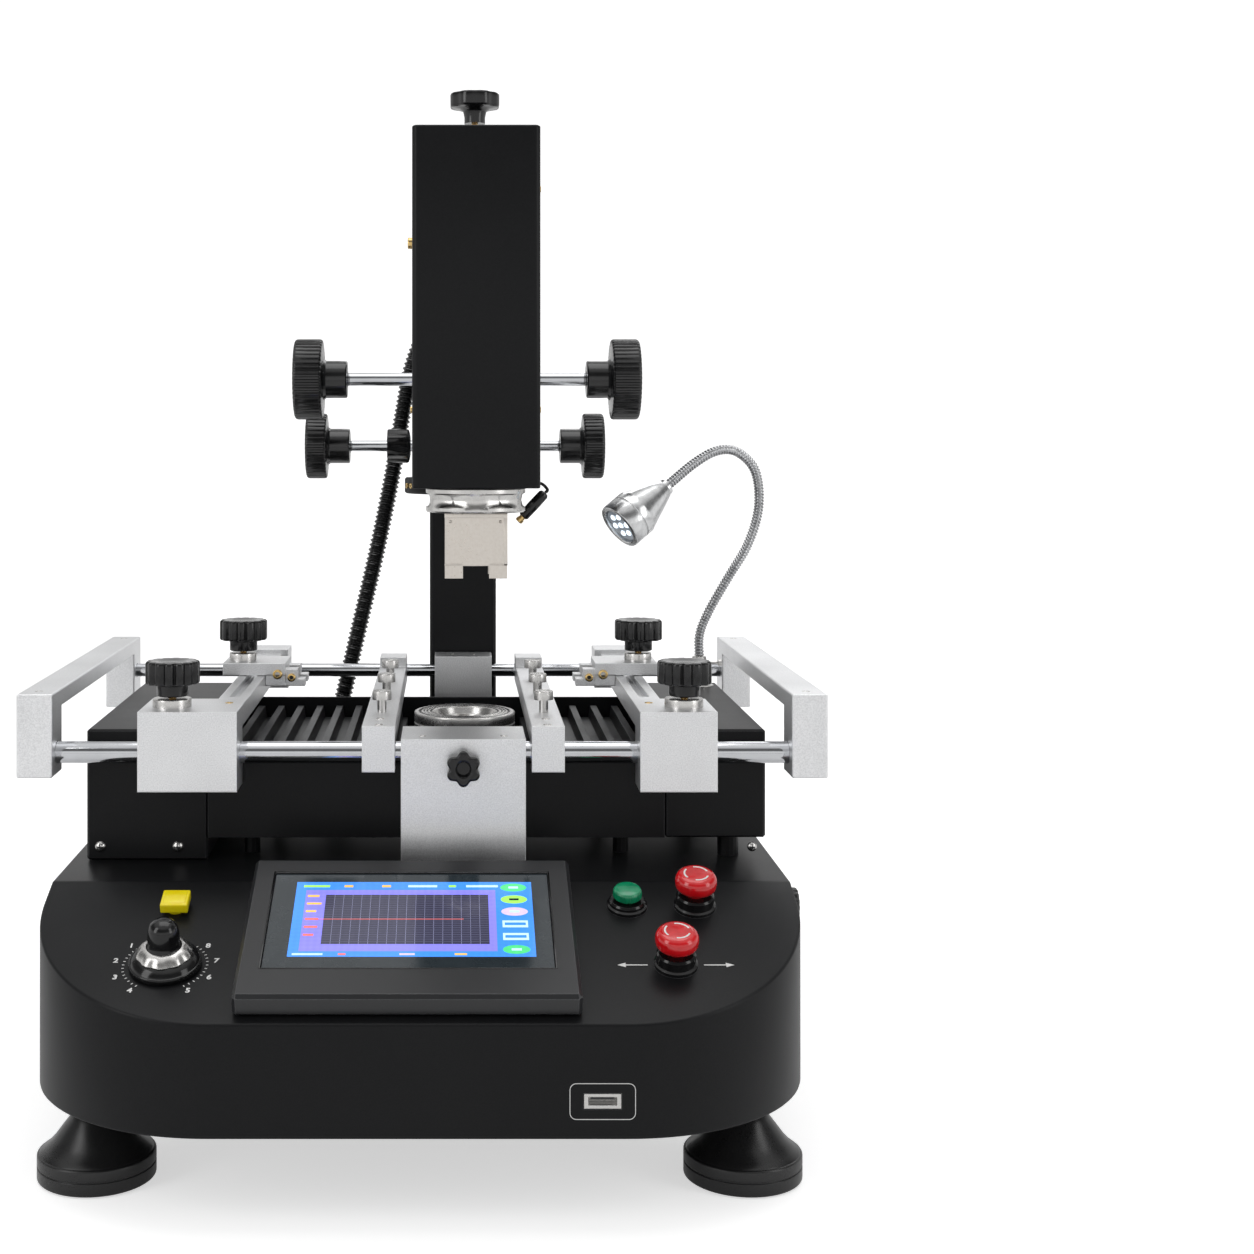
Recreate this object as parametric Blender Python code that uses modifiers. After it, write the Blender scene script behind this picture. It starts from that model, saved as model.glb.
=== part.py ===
"""Hot-air rework station for soldered grid-array chips.

Units are metres, +Z is up and the operator stands on the -Y side. The origin is the
centre of the machine's footprint, on the bench.
"""

import math

import bmesh
import bpy
from mathutils import Matrix, Vector

# Console base
BASE_HALF_WIDTH = 0.262
BASE_FRONT_Y = -0.33
BASE_BACK_Y = 0.29
BASE_BOTTOM_Z = 0.059
DECK_Z = 0.183
PANEL_CREASE_Y = -0.175
PANEL_FRONT_Z = 0.131
CORNER_RADIUS = 0.130
CORNER_STEPS = 10
FOOT_RADIUS = 0.040
FOOT_INSET_X = 0.044
FOOT_INSET_Y = 0.092
GAP = 0.0003
EDGE = 0.0015

# Touch screen and the controls on the sloping panel, in the panel's own frame
SCREEN_CENTRE = (-0.0065, -0.0765)
SCREEN_SIZE = (0.221, 0.160)
SCREEN_HEIGHT = 0.016
GLASS_SIZE = (0.190, 0.112)
DIAL_CENTRE = (-0.167, -0.1005)
DIAL_RADIUS = 0.024
DIAL_HEIGHT = 0.034
DIAL_STUD_RADIUS = 0.004
YELLOW_CENTRE = (-0.169, -0.036)
GREEN_CENTRE = (0.143, -0.032)
STOP_CENTRES = ((0.190, -0.032), (0.169, -0.1005))
STOP_RADIUS = 0.0145
COLLAR_RADIUS = 0.0130
STEM_RADIUS = 0.006
STEM_CLEARANCE = 0.0006
COLLAR_HEIGHT = 0.010
PUSH_TRAVEL = 0.004
GREEN_COLLAR_HEIGHT = 0.006
GREEN_TRAVEL = 0.002
YELLOW_HALF = 0.0095
USB_CENTRE = (0.116, 0.083)
USB_SIZE = (0.024, 0.010)
USB_DEPTH = 0.010
USB_WALL = 0.0026
SIDE_KNOB_Y = -0.150
SIDE_KNOB_Z = 0.160
SIDE_KNOB_RADIUS = 0.012
SIDE_KNOB_THICK = 0.009
SIDE_STUD_RADIUS = 0.004
VENT_COUNT = 5

# The nozzles' common axis and the board heater
AIR_X = 0.032
AIR_Y = 0.016
TRAY_LEFT_X = -0.160
TRAY_RIGHT_X = 0.180
TRAY_FRONT_Y = -0.112
TRAY_BACK_Y = 0.144
TRAY_BOTTOM_Z = 0.200
TRAY_TOP_Z = 0.2805
TRAY_RIM_Z = 0.268
TRAY_WALL = 0.003
SIDE_LEFT_X = -0.250
SIDE_RIGHT_X = 0.255
RIB_PITCH = 0.0165
RIB_WIDTH = 0.0085
RIB_HEIGHT = 0.010
HEATER_TOP_Z = 0.262
HEATER_EDGE = 0.010
AIR_BAY_HALF = 0.049
AIR_PLATE_HALF = 0.038
LOWER_NOZZLE_RADIUS = 0.041
LOWER_NOZZLE_TOP_Z = 0.275
LOWER_NOZZLE_HEIGHT = 0.022

# Board table: two front-to-back end handles joined by polished rods
HANDLE_OUTER_X = 0.295
HANDLE_WIDTH = 0.026
HANDLE_FRONT_Y = -0.144
HANDLE_BACK_Y = 0.236
HANDLE_TOP_Z = 0.311
HANDLE_BAR = 0.013
HANDLE_POST_DEPTH = 0.034
HANDLE_POST_HEIGHT = 0.061
FRONT_ROD_Y = -0.126
FRONT_ROD_Z = 0.266
FRONT_ROD_RADIUS = 0.008
REAR_ROD_Y = 0.218
REAR_ROD_Z = 0.282
REAR_ROD_RADIUS = 0.006
ROD_CLEARANCE = 0.0004
ROD_SEAT = 0.012
CENTRE_BLOCK = ((-0.0155, -0.142, DECK_Z), (0.0755, -0.1125, 0.278))
CENTRE_LEDGE_BACK_Y = -0.082
CENTRE_LEDGE_Z = 0.2705
BACK_BLOCK = ((0.006, 0.200, DECK_Z), (0.058, 0.235, 0.2966))

# Board clamps and support bars
CARRIAGES = {"left": (-0.206, -0.134, 1), "right": (0.158, 0.214, -1)}
CARRIAGE_FRONT_Y = -0.150
CARRIAGE_BLOCK_DEPTH = 0.0365
CARRIAGE_SHELF_DEPTH = 0.068
CARRIAGE_BOTTOM_Z = 0.241
CARRIAGE_TOP_Z = 0.299
RAIL_WIDTH = 0.022
RAIL_BOTTOM_Z = 0.2835
REAR_BLOCK_DEPTH = 0.036
STAR_RADIUS = 0.020
STAR_HEIGHT = 0.017
STAR_LOBES = 11
STAR_SEAT_RADIUS = 0.014
SEAT_HEIGHT = 0.006
STAR_LIFT = 0.011
STUD_RADIUS = 0.003
STUD_DEPTH = 0.007
CLAMP_Y = 0.075
CLAMP_DEPTH = 0.050
CLAMP_HEIGHT = 0.010
CLAMP_OUTER = 0.024
CLAMP_INNER = 0.028
JAW_BOTTOM_Z = 0.2900
FINGER_SPACING = 0.030
FINGER_REACH = 0.016
LOCK_Z = 0.2585
LOCK_RADIUS = 0.0130
LOCK_THICK = 0.013
LOCK_STUD_RADIUS = 0.004
LOCK_STUD_END_Y = -0.1348
BARS = {"left": -0.032, "right": 0.092}
BAR_WIDTH = 0.024
BAR_BOTTOM_Z = 0.2535
BAR_TOP_Z = 0.287
BAR_NOTCH_Z = 0.2715
BAR_NOSE_DEPTH = 0.0265
PIN_YS = (-0.070, 0.030, 0.120)
PIN_RADIUS = 0.0032
PIN_HEAD_RADIUS = 0.0070
PIN_HEIGHT = 0.016

# Column, swivel collar and sliding arm
COLUMN_X = 0.032
COLUMN_Y = 0.264
COLUMN_WIDTH = 0.062
COLUMN_DEPTH = 0.044
COLUMN_TOP_Z = 0.458
COLUMN_GROOVE = 0.006
SPIGOT_RADIUS = 0.016
SPIGOT_TOP_Z = 0.476
COLLAR_BOTTOM_Z = 0.444
TURNTABLE_RADIUS = 0.045
COLLAR_RING_RADIUS = 0.055
COLLAR_RING_HEIGHT = 0.015
SADDLE_BOTTOM_Z = 0.4685
SADDLE_WIDTH = 0.084
SADDLE_FRONT_Y = 0.195
SADDLE_BACK_Y = 0.292
SADDLE_FLOOR_Z = 0.5045
SADDLE_TOP_Z = 0.545
BEAM_WIDTH = 0.056
BEAM_BOTTOM_Z = 0.505
BEAM_TOP_Z = 0.585
BEAM_FRONT_Y = 0.104
BEAM_BACK_Y = 0.312
BEAM_GROOVE = 0.005
END_CAP_BACK_Y = 0.330
ARM_SHAFT_Y = 0.220
ARM_SHAFT_Z = 0.489
ARM_SHAFT_RADIUS = 0.005
ARM_KNOB_RADIUS = 0.030
ARM_KNOB_OUTER = 0.137
ARM_KNOB_THICK = 0.019
ARM_CENTRE_X = 0.0245

# Heating head on its two vertical rods
HEAD_X = 0.041
HEAD_WIDTH = 0.102
HEAD_FRONT_Y = -0.025
HEAD_BACK_Y = 0.055
HEAD_BOTTOM_Z = 0.457
HEAD_TOP_Z = 0.745
SLIDE_ROD_Y = 0.078
SLIDE_ROD_SPACING = 0.044
SLIDE_ROD_RADIUS = 0.0050
SLIDE_CLEARANCE = 0.0004
SLIDE_PLATE_THICK = 0.012
SLIDE_PLATE_BACK_Y = 0.094
TOP_PLATE_DROP = 0.045
TOP_PLATE_Z = HEAD_TOP_Z - TOP_PLATE_DROP
BOTTOM_PLATE_Z = 0.462
SLIDER_WIDTH = 0.074
SLIDER_FRONT_Y = 0.0605
HEAD_SHAFT_Y = 0.098
HEAD_SHAFT_Z = 0.547
HEAD_SHAFT_RADIUS = 0.0055
HEAD_KNOB_RADIUS = 0.0345
HEAD_KNOB_OUTER = 0.1475
HEAD_CENTRE_X = 0.0345
KNOB_THICK = 0.024
KNOB_RIBS = 26
HUB_RADIUS = 0.016
HUB_LENGTH = 0.021
FLANGE_RADIUS = 0.0405
FLANGE_HEIGHT = 0.020
NOZZLE_HALF = 0.025
NOZZLE_BOTTOM_Z = 0.3845
NOZZLE_WALL = 0.0025
NOZZLE_NECK_RADIUS = 0.015
ELBOW_DROP = 0.017
ELBOW_Z = HEAD_TOP_Z - ELBOW_DROP
ELBOW_END_Y = 0.096
ELBOW_RADIUS = 0.0125
TOP_KNOB_Y = 0.075
TOP_POST_RISE = 0.0135
TOP_POST_Z = HEAD_TOP_Z + TOP_POST_RISE
TOP_KNOB_HEIGHT = 0.0295
TOP_KNOB_Z = TOP_POST_Z + TOP_KNOB_HEIGHT
TOP_KNOB_RADIUS = 0.0215

# Conduit from the head to the base, and the gooseneck work lamp
HOSE_RADIUS = 0.0085
HOSE_OVER_BEAM = 0.005
HOSE_LOW_Z = BEAM_TOP_Z + HOSE_RADIUS + HOSE_OVER_BEAM
HOSE_FALL = ELBOW_Z - HOSE_LOW_Z
HOSE_ROUTE = (
    (0.041, 0.0966, ELBOW_Z), (0.041, 0.1000, ELBOW_Z), (0.041, 0.1045, ELBOW_Z - 0.0005),
    (0.041, 0.1120, ELBOW_Z - 0.0060), (0.040, 0.1240, HOSE_LOW_Z + 0.807 * HOSE_FALL),
    (0.038, 0.1400, HOSE_LOW_Z + 0.537 * HOSE_FALL), (0.035, 0.1650, HOSE_LOW_Z + 0.243 * HOSE_FALL),
    (0.032, 0.2000, HOSE_LOW_Z + 0.058 * HOSE_FALL), (0.028, 0.2450, HOSE_LOW_Z),
    (0.010, 0.2920, HOSE_LOW_Z + 0.0045), (-0.006, 0.3020, HOSE_LOW_Z - 0.0065),
    (-0.018, 0.3040, HOSE_LOW_Z - 0.0365), (-0.026, 0.3010, BEAM_TOP_Z - 0.0650), (-0.036, 0.2940, 0.4600),
    (-0.050, 0.2860, 0.3900), (-0.066, 0.2780, 0.3200), (-0.083, 0.2690, 0.2450),
    (-0.090, 0.2670, 0.2150), (-0.090, 0.2670, 0.2040),
)
HOSE_STEPS = 54
LAMP_FOOT = (0.238, 0.128)
LAMP_POST_RADIUS = 0.009
LAMP_POST_HEIGHT = 0.012
LAMP_SOCKET_HEIGHT = 0.013
NECK_RADIUS = 0.0042
LAMP_STEPS = 32
LAMP_ROUTE = (
    (0.238, 0.128, 0.3060), (0.2385, 0.128, 0.3250), (0.246, 0.126, 0.3450),
    (0.262, 0.120, 0.3750), (0.278, 0.111, 0.4050), (0.286, 0.104, 0.4370),
    (0.282, 0.097, 0.4680), (0.266, 0.090, 0.4845), (0.248, 0.084, 0.4860),
    (0.228, 0.077, 0.4760), (0.2030, 0.0652, 0.4568),
)
LAMP_SHADE_RADIUS = 0.0205
LAMP_SHADE_LENGTH = 0.058


def collection(name):
    """A collection of the scene, made on first use."""
    found = bpy.data.collections.get(name) or bpy.data.collections.new(name)
    if name not in bpy.context.scene.collection.children:
        bpy.context.scene.collection.children.link(found)
    return found


def material(name, colour, roughness, metallic):
    """A Principled material in the colour of one finish."""
    made = bpy.data.materials.new(name)
    made.use_nodes = True
    shader = made.node_tree.nodes["Principled BSDF"]
    shader.inputs["Base Color"].default_value = (*colour, 1.0)
    shader.inputs["Roughness"].default_value = roughness
    shader.inputs["Metallic"].default_value = metallic
    return made


for leftover in list(bpy.data.objects):
    bpy.data.objects.remove(leftover)

PARTS = collection("rework_station")
CUTTERS = collection("cutters")
FINISHES = {
    "black_paint": material("black_paint", (0.020, 0.021, 0.024), 0.45, 0.0),
    "aluminium": material("aluminium", (0.80, 0.81, 0.83), 0.35, 1.0),
    "polished_steel": material("polished_steel", (0.75, 0.76, 0.78), 0.12, 1.0),
    "nozzle_steel": material("nozzle_steel", (0.62, 0.59, 0.55), 0.40, 1.0),
    "grey_paint": material("grey_paint", (0.16, 0.17, 0.18), 0.40, 0.3),
    "black_plastic": material("black_plastic", (0.012, 0.012, 0.013), 0.25, 0.0),
    "rubber": material("rubber", (0.018, 0.018, 0.018), 0.70, 0.0),
    "heater_black": material("heater_black", (0.025, 0.025, 0.027), 0.55, 0.2),
    "screen_glass": material("screen_glass", (0.20, 0.32, 0.75), 0.15, 0.0),
    "red_plastic": material("red_plastic", (0.75, 0.01, 0.02), 0.25, 0.0),
    "green_plastic": material("green_plastic", (0.01, 0.30, 0.12), 0.30, 0.0),
    "yellow_plastic": material("yellow_plastic", (0.90, 0.75, 0.02), 0.30, 0.0),
}


def add(name, bm, finish):
    """Turns a bmesh into a named part, or into a hidden cutter where there is no finish."""
    mesh = bpy.data.meshes.new(name)
    bmesh.ops.recalc_face_normals(bm, faces=bm.faces)
    bm.to_mesh(mesh)
    bm.free()
    made = bpy.data.objects.new(name, mesh)
    if finish is None:
        CUTTERS.objects.link(made)
        made.hide_render = True
        made.display_type = "WIRE"
    else:
        PARTS.objects.link(made)
        made.data.materials.append(FINISHES[finish])
    return made


def round_edges(part, width, segments=1):
    """Bevels every edge sharper than 40 degrees."""
    bevel = part.modifiers.new("edges", "BEVEL")
    bevel.width = width
    bevel.segments = segments
    bevel.limit_method = "ANGLE"
    bevel.angle_limit = math.radians(40)
    return part


def box(name, low, high, finish=None, edge=0.0):
    """A block between two corners."""
    size = Vector(high) - Vector(low)
    centre = (Vector(high) + Vector(low)) / 2
    bm = bmesh.new()
    place = Matrix.Translation(centre) @ Matrix.Diagonal((*size, 1.0))
    bmesh.ops.create_cube(bm, size=1.0, matrix=place)
    made = add(name, bm, finish)
    return round_edges(made, edge) if edge else made


def frame_along(start, direction):
    """The matrix that puts +Z along a direction, at a start point."""
    turn = Vector((0, 0, 1)).rotation_difference(Vector(direction))
    return Matrix.Translation(start) @ turn.to_matrix().to_4x4()


def rod(name, start, end, radius, finish=None, sides=24, end_radius=None):
    """A round bar or cone between two points."""
    run = Vector(end) - Vector(start)
    bm = bmesh.new()
    place = frame_along(start, run) @ Matrix.Translation((0, 0, run.length / 2))
    top = radius if end_radius is None else end_radius
    bmesh.ops.create_cone(
        bm, cap_ends=True, segments=sides, radius1=radius, radius2=top,
        depth=run.length, matrix=place)
    return smooth(add(name, bm, finish))


def smooth(part):
    part.data.shade_smooth()
    part.data.set_sharp_from_angle(angle=math.radians(35))
    return part


def turned(name, profile, finish=None, steps=32):
    """A solid of revolution about Z: radius and height pairs, from the top down the outside."""
    bm = bmesh.new()
    points = [bm.verts.new((radius, 0.0, height)) for radius, height in profile]
    for above, below in zip(points, points[1:]):
        bm.edges.new((above, below))
    mesh = bpy.data.meshes.new(name)
    bm.to_mesh(mesh)
    bm.free()
    made = bpy.data.objects.new(name, mesh)
    if finish is None:
        CUTTERS.objects.link(made)
        made.hide_render = True
        made.display_type = "WIRE"
    else:
        PARTS.objects.link(made)
        made.data.materials.append(FINISHES[finish])
    screw = made.modifiers.new("turn", "SCREW")
    screw.steps = steps
    screw.render_steps = steps
    screw.use_merge_vertices = True
    screw.merge_threshold = 0.00001
    screw.use_smooth_shade = True
    return made


def outline_prism(name, outline, thickness, finish=None):
    """A flat outline in XY, thickened upwards from Z = 0."""
    bm = bmesh.new()
    face = bm.faces.new([bm.verts.new((x, y, 0.0)) for x, y in outline])
    raised = bmesh.ops.extrude_face_region(bm, geom=[face])["geom"]
    corners = [item for item in raised if isinstance(item, bmesh.types.BMVert)]
    bmesh.ops.translate(bm, vec=(0, 0, thickness), verts=corners)
    return add(name, bm, finish)


def gear_outline(ribs, radius, depth):
    """Points round a knob whose rim has square-sided ribs."""
    step = math.tau / (4 * ribs)
    outline = []
    for index in range(4 * ribs):
        reach = radius if index % 4 < 2 else radius - depth
        outline.append((reach * math.cos(index * step), reach * math.sin(index * step)))
    return outline


def lobe_outline(lobes, radius, depth, points_per_lobe=4):
    """Points round a star knob with soft lobes."""
    count = lobes * points_per_lobe
    outline = []
    for index in range(count):
        angle = math.tau * index / count
        reach = radius - depth * (1 - math.cos(lobes * angle)) / 2
        outline.append((reach * math.cos(angle), reach * math.sin(angle)))
    return outline


def cut(part, cutter):
    """Takes a cutter out of a part."""
    boolean = part.modifiers.new("cut_" + cutter.name, "BOOLEAN")
    boolean.operation = "DIFFERENCE"
    boolean.object = cutter
    return part


def unite(part, other):
    """Joins a hidden helper shape to a part."""
    boolean = part.modifiers.new("join_" + other.name, "BOOLEAN")
    boolean.operation = "UNION"
    boolean.object = other
    return part


def stand(part, matrix):
    """Puts a part built at the world's origin where it belongs."""
    part.matrix_world = matrix
    return part


def pivot(part, point):
    """Moves a part's own origin to a point on its joint's axis."""
    part.data.transform(Matrix.Translation(-Vector(point)))
    part.location = point
    return part


# Console base


def base_outline():
    """The base in plan: square at the back, with large round front corners."""
    points = [(BASE_HALF_WIDTH, BASE_BACK_Y), (-BASE_HALF_WIDTH, BASE_BACK_Y)]
    for side, first in ((-1, math.pi), (1, 1.5 * math.pi)):
        centre_x = side * (BASE_HALF_WIDTH - CORNER_RADIUS)
        centre_y = BASE_FRONT_Y + CORNER_RADIUS
        for step in range(CORNER_STEPS + 1):
            angle = first + 0.5 * math.pi * step / CORNER_STEPS
            points.append((centre_x + CORNER_RADIUS * math.cos(angle),
                           centre_y + CORNER_RADIUS * math.sin(angle)))
    return points


PANEL_TILT = math.atan2(DECK_Z - PANEL_FRONT_Z, PANEL_CREASE_Y - BASE_FRONT_Y)
PANEL = Matrix.Translation((0, PANEL_CREASE_Y, DECK_Z)) @ Matrix.Rotation(PANEL_TILT, 4, "X")


def on_panel(x, y, height=0.0):
    """The matrix of a place on the sloping panel."""
    return PANEL @ Matrix.Translation((x, y, height))


def make_base():
    base = outline_prism("base_housing", base_outline(), DECK_Z - BASE_BOTTOM_Z, "black_paint")
    base.data.transform(Matrix.Translation((0, 0, BASE_BOTTOM_Z)))
    reach = 2 * BASE_HALF_WIDTH
    wedge = box("panel_slope", (-reach, -reach, 0), (reach, 0, reach))
    wedge.data.transform(PANEL)
    cut(base, wedge)
    round_edges(base, EDGE)
    collars = [(f"stop_collar_{i}", centre, COLLAR_RADIUS, COLLAR_HEIGHT)
               for i, centre in enumerate(STOP_CENTRES)]
    collars.append(("start_collar", GREEN_CENTRE, COLLAR_RADIUS - 0.0005, GREEN_COLLAR_HEIGHT))
    for name, (x, y), radius, height in collars:
        ring = rod(name, (x, y, -0.004), (x, y, height), radius, sides=24)
        ring.data.transform(PANEL)
        unite(base, ring)
    gland = Vector(HOSE_ROUTE[-1])
    unite(base, rod("conduit_gland", (gland.x, gland.y, DECK_Z - 0.004),
                    (gland.x, gland.y, gland.z - 3 * GAP), 0.013, sides=16, end_radius=0.010))
    wells = [("yellow_well", YELLOW_CENTRE), ("green_well", GREEN_CENTRE)]
    wells += [(f"stop_well_{i}", centre) for i, centre in enumerate(STOP_CENTRES)]
    for name, (x, y) in wells:
        well = rod(name, (x, y, -0.020), (x, y, 0.020), STEM_RADIUS + STEM_CLEARANCE, sides=16)
        well.data.transform(PANEL)
        cut(base, well)
    x, y = DIAL_CENTRE
    bore = rod("dial_bore", (x, y, -0.012), (x, y, 0.020), DIAL_STUD_RADIUS + STEM_CLEARANCE,
               sides=16)
    bore.data.transform(PANEL)
    cut(base, bore)
    usb_x, usb_z = USB_CENTRE
    half_w, half_h = USB_SIZE[0] / 2, USB_SIZE[1] / 2
    cut(base, box("usb_recess", (usb_x - half_w, BASE_FRONT_Y - 0.01, usb_z - half_h),
                  (usb_x + half_w, BASE_FRONT_Y + USB_DEPTH, usb_z + half_h)))
    cut(base, rod("side_bore", (BASE_HALF_WIDTH - 0.012, SIDE_KNOB_Y, SIDE_KNOB_Z),
                  (BASE_HALF_WIDTH + 0.02, SIDE_KNOB_Y, SIDE_KNOB_Z),
                  SIDE_STUD_RADIUS + STEM_CLEARANCE, sides=16))
    for index in range(VENT_COUNT):
        z = 0.085 + index * 0.016
        for side in (-1, 1):
            cut(base, box(f"vent_{index}_{side}", (side * 0.15 - 0.045, BASE_BACK_Y - 0.004, z),
                          (side * 0.15 + 0.045, BASE_BACK_Y + 0.01, z + 0.006)))
    return base


def make_feet():
    """Four levelling feet: a flat rubbered disc, a cone and a threaded stem."""
    top = BASE_BOTTOM_Z - GAP
    profile = [(0.0, top), (0.011, top), (0.011, 0.046), (0.0155, 0.044), (0.036, 0.020),
               (FOOT_RADIUS, 0.017), (FOOT_RADIUS, 0.004), (0.037, 0.0), (0.0, 0.0)]
    places = {"front_left": (-1, BASE_FRONT_Y + FOOT_INSET_Y),
              "front_right": (1, BASE_FRONT_Y + FOOT_INSET_Y),
              "back_left": (-1, BASE_BACK_Y - FOOT_INSET_X),
              "back_right": (1, BASE_BACK_Y - FOOT_INSET_X)}
    for name, (side, y) in places.items():
        foot = turned("foot_" + name, profile, "rubber", 20)
        foot.location = (side * (BASE_HALF_WIDTH - FOOT_INSET_X), y, 0)


def make_screen():
    x, y = SCREEN_CENTRE
    wide, tall = SCREEN_SIZE
    bezel = box("screen_bezel", (-wide / 2, -tall / 2, GAP), (wide / 2, tall / 2, SCREEN_HEIGHT),
                "black_plastic", 0.0025)
    glass_x, glass_y = GLASS_SIZE
    cut(bezel, box("screen_recess", (-glass_x / 2, -glass_y / 2 + 0.006, SCREEN_HEIGHT - 0.003),
                   (glass_x / 2, glass_y / 2 + 0.006, SCREEN_HEIGHT + 0.01)))
    slack = 0.0004
    glass = box("screen_glass",
                (-glass_x / 2 + slack, -glass_y / 2 + 0.006 + slack, SCREEN_HEIGHT - 0.003 + GAP),
                (glass_x / 2 - slack, glass_y / 2 + 0.006 - slack, SCREEN_HEIGHT - 0.0008),
                "screen_glass")
    for part in (bezel, glass):
        stand(part, on_panel(x, y))
    cut_helper = bpy.data.objects["screen_recess"]
    stand(cut_helper, on_panel(x, y))


def make_dial():
    """The air-flow dial: a chrome skirt with a black pointer knob, on a stud."""
    x, y = DIAL_CENTRE
    top = DIAL_HEIGHT
    profile = [(0.0, top), (0.006, top - 0.0006), (0.0095, top - 0.004), (0.0105, 0.018),
               (0.0105, 0.0145), (0.016, 0.012), (0.0215, 0.0075), (DIAL_RADIUS, 0.003),
               (DIAL_RADIUS, 0.0005), (DIAL_STUD_RADIUS, 0.0005), (DIAL_STUD_RADIUS, -0.010),
               (0.0, -0.010)]
    stand(turned("flow_dial", profile, "black_plastic", 24), on_panel(x, y))


def push_button(name, centre, cap_profile, finish):
    """A button with its stem in the panel; the cap starts above the collar."""
    profile = cap_profile + [(STEM_RADIUS, cap_profile[-1][1]), (STEM_RADIUS, -0.013), (0.0, -0.013)]
    stand(turned(name, profile, finish, 20), on_panel(*centre))


def make_buttons():
    clear = COLLAR_HEIGHT + PUSH_TRAVEL + 0.0005
    for name, centre in zip(("stop_button", "power_button"), STOP_CENTRES):
        cap = [(0.0, clear + 0.012), (0.010, clear + 0.0115), (0.0135, clear + 0.009),
               (STOP_RADIUS, clear + 0.005), (0.0125, clear)]
        push_button(name, centre, cap, "red_plastic")
    low = GREEN_COLLAR_HEIGHT + GREEN_TRAVEL + 0.0005
    cap = [(0.0, low + 0.006), (0.0085, low + 0.0055), (0.0100, low + 0.004), (0.0100, low)]
    push_button("start_button", GREEN_CENTRE, cap, "green_plastic")
    half = YELLOW_HALF
    button = box("vacuum_button", (-half, -half, GREEN_TRAVEL + 0.0010),
                 (half, half, GREEN_TRAVEL + 0.0080), "yellow_plastic", 0.001)
    stem = rod("vacuum_stem", (0, 0, -0.010), (0, 0, GREEN_TRAVEL + 0.004), STEM_RADIUS, sides=16)
    unite(button, stem)
    for part in (button, stem):
        stand(part, on_panel(*YELLOW_CENTRE))


def make_usb_port():
    """The steel shell of the data socket, open towards the operator."""
    x, z = USB_CENTRE
    half_w, half_h = USB_SIZE[0] / 2 - GAP, USB_SIZE[1] / 2 - GAP
    port = box("usb_port", (x - half_w, BASE_FRONT_Y + GAP, z - half_h),
               (x + half_w, BASE_FRONT_Y + USB_DEPTH - GAP, z + half_h), "nozzle_steel")
    mouth_w, mouth_h = half_w - USB_WALL, half_h - USB_WALL * 0.8
    cut(port, box("usb_mouth", (x - mouth_w, BASE_FRONT_Y - 0.001, z - mouth_h),
                  (x + mouth_w, BASE_FRONT_Y + USB_DEPTH - 0.002, z + mouth_h)))


def make_side_knob():
    """The small lock knob on the right of the base."""
    knob = outline_prism("side_knob", gear_outline(14, SIDE_KNOB_RADIUS, 0.001),
                         SIDE_KNOB_THICK, "black_plastic")
    stud = rod("side_stud", (0, 0, -0.010), (0, 0, 0.003), SIDE_STUD_RADIUS, sides=16)
    unite(knob, stud)
    place = frame_along((BASE_HALF_WIDTH + 0.0006, SIDE_KNOB_Y, SIDE_KNOB_Z), (1, 0, 0))
    for part in (knob, stud):
        stand(part, place)


make_base()
make_feet()
make_screen()
make_dial()
make_buttons()
make_usb_port()
make_side_knob()


# Board heater


def make_heater():
    left, right = TRAY_LEFT_X, TRAY_RIGHT_X
    tray = box("heater_tray", (left, TRAY_FRONT_Y, TRAY_BOTTOM_Z), (right, TRAY_BACK_Y, TRAY_RIM_Z),
               "black_paint")
    cut(tray, box("tray_hollow",
                  (left + TRAY_WALL, TRAY_FRONT_Y + TRAY_WALL, TRAY_BOTTOM_Z + TRAY_WALL),
                  (right - TRAY_WALL, TRAY_BACK_Y - TRAY_WALL, TRAY_TOP_Z + 0.01)))
    for index, x in enumerate((left + 0.03, right - 0.03)):
        for y in (TRAY_FRONT_Y + 0.03, TRAY_BACK_Y - 0.03):
            unite(tray, rod(f"tray_post_{index}_{y:.2f}", (x, y, DECK_Z + GAP),
                            (x, y, TRAY_BOTTOM_Z + 0.001), 0.006, sides=12))


def ribbed_plate(name, left, right, front, back):
    """A heater cover: a plate with ribs that run front to back."""
    bottom = TRAY_BOTTOM_Z + TRAY_WALL + GAP
    floor = HEATER_TOP_Z - RIB_HEIGHT
    count = max(2, int((right - left) / RIB_PITCH))
    pitch = (right - left) / count
    profile = [(left, bottom), (left, floor)]
    for index in range(count):
        start = left + index * pitch + (pitch - RIB_WIDTH) / 2
        slope = RIB_WIDTH * 0.18
        profile += [(start, floor), (start + slope, HEATER_TOP_Z),
                    (start + RIB_WIDTH - slope, HEATER_TOP_Z), (start + RIB_WIDTH, floor)]
    profile += [(right, floor), (right, bottom)]
    plate = outline_prism(name, profile, back - front, "heater_black")
    upright = Matrix.Translation((0, back, 0)) @ Matrix.Rotation(math.pi / 2, 4, "X")
    plate.data.transform(upright)


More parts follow.
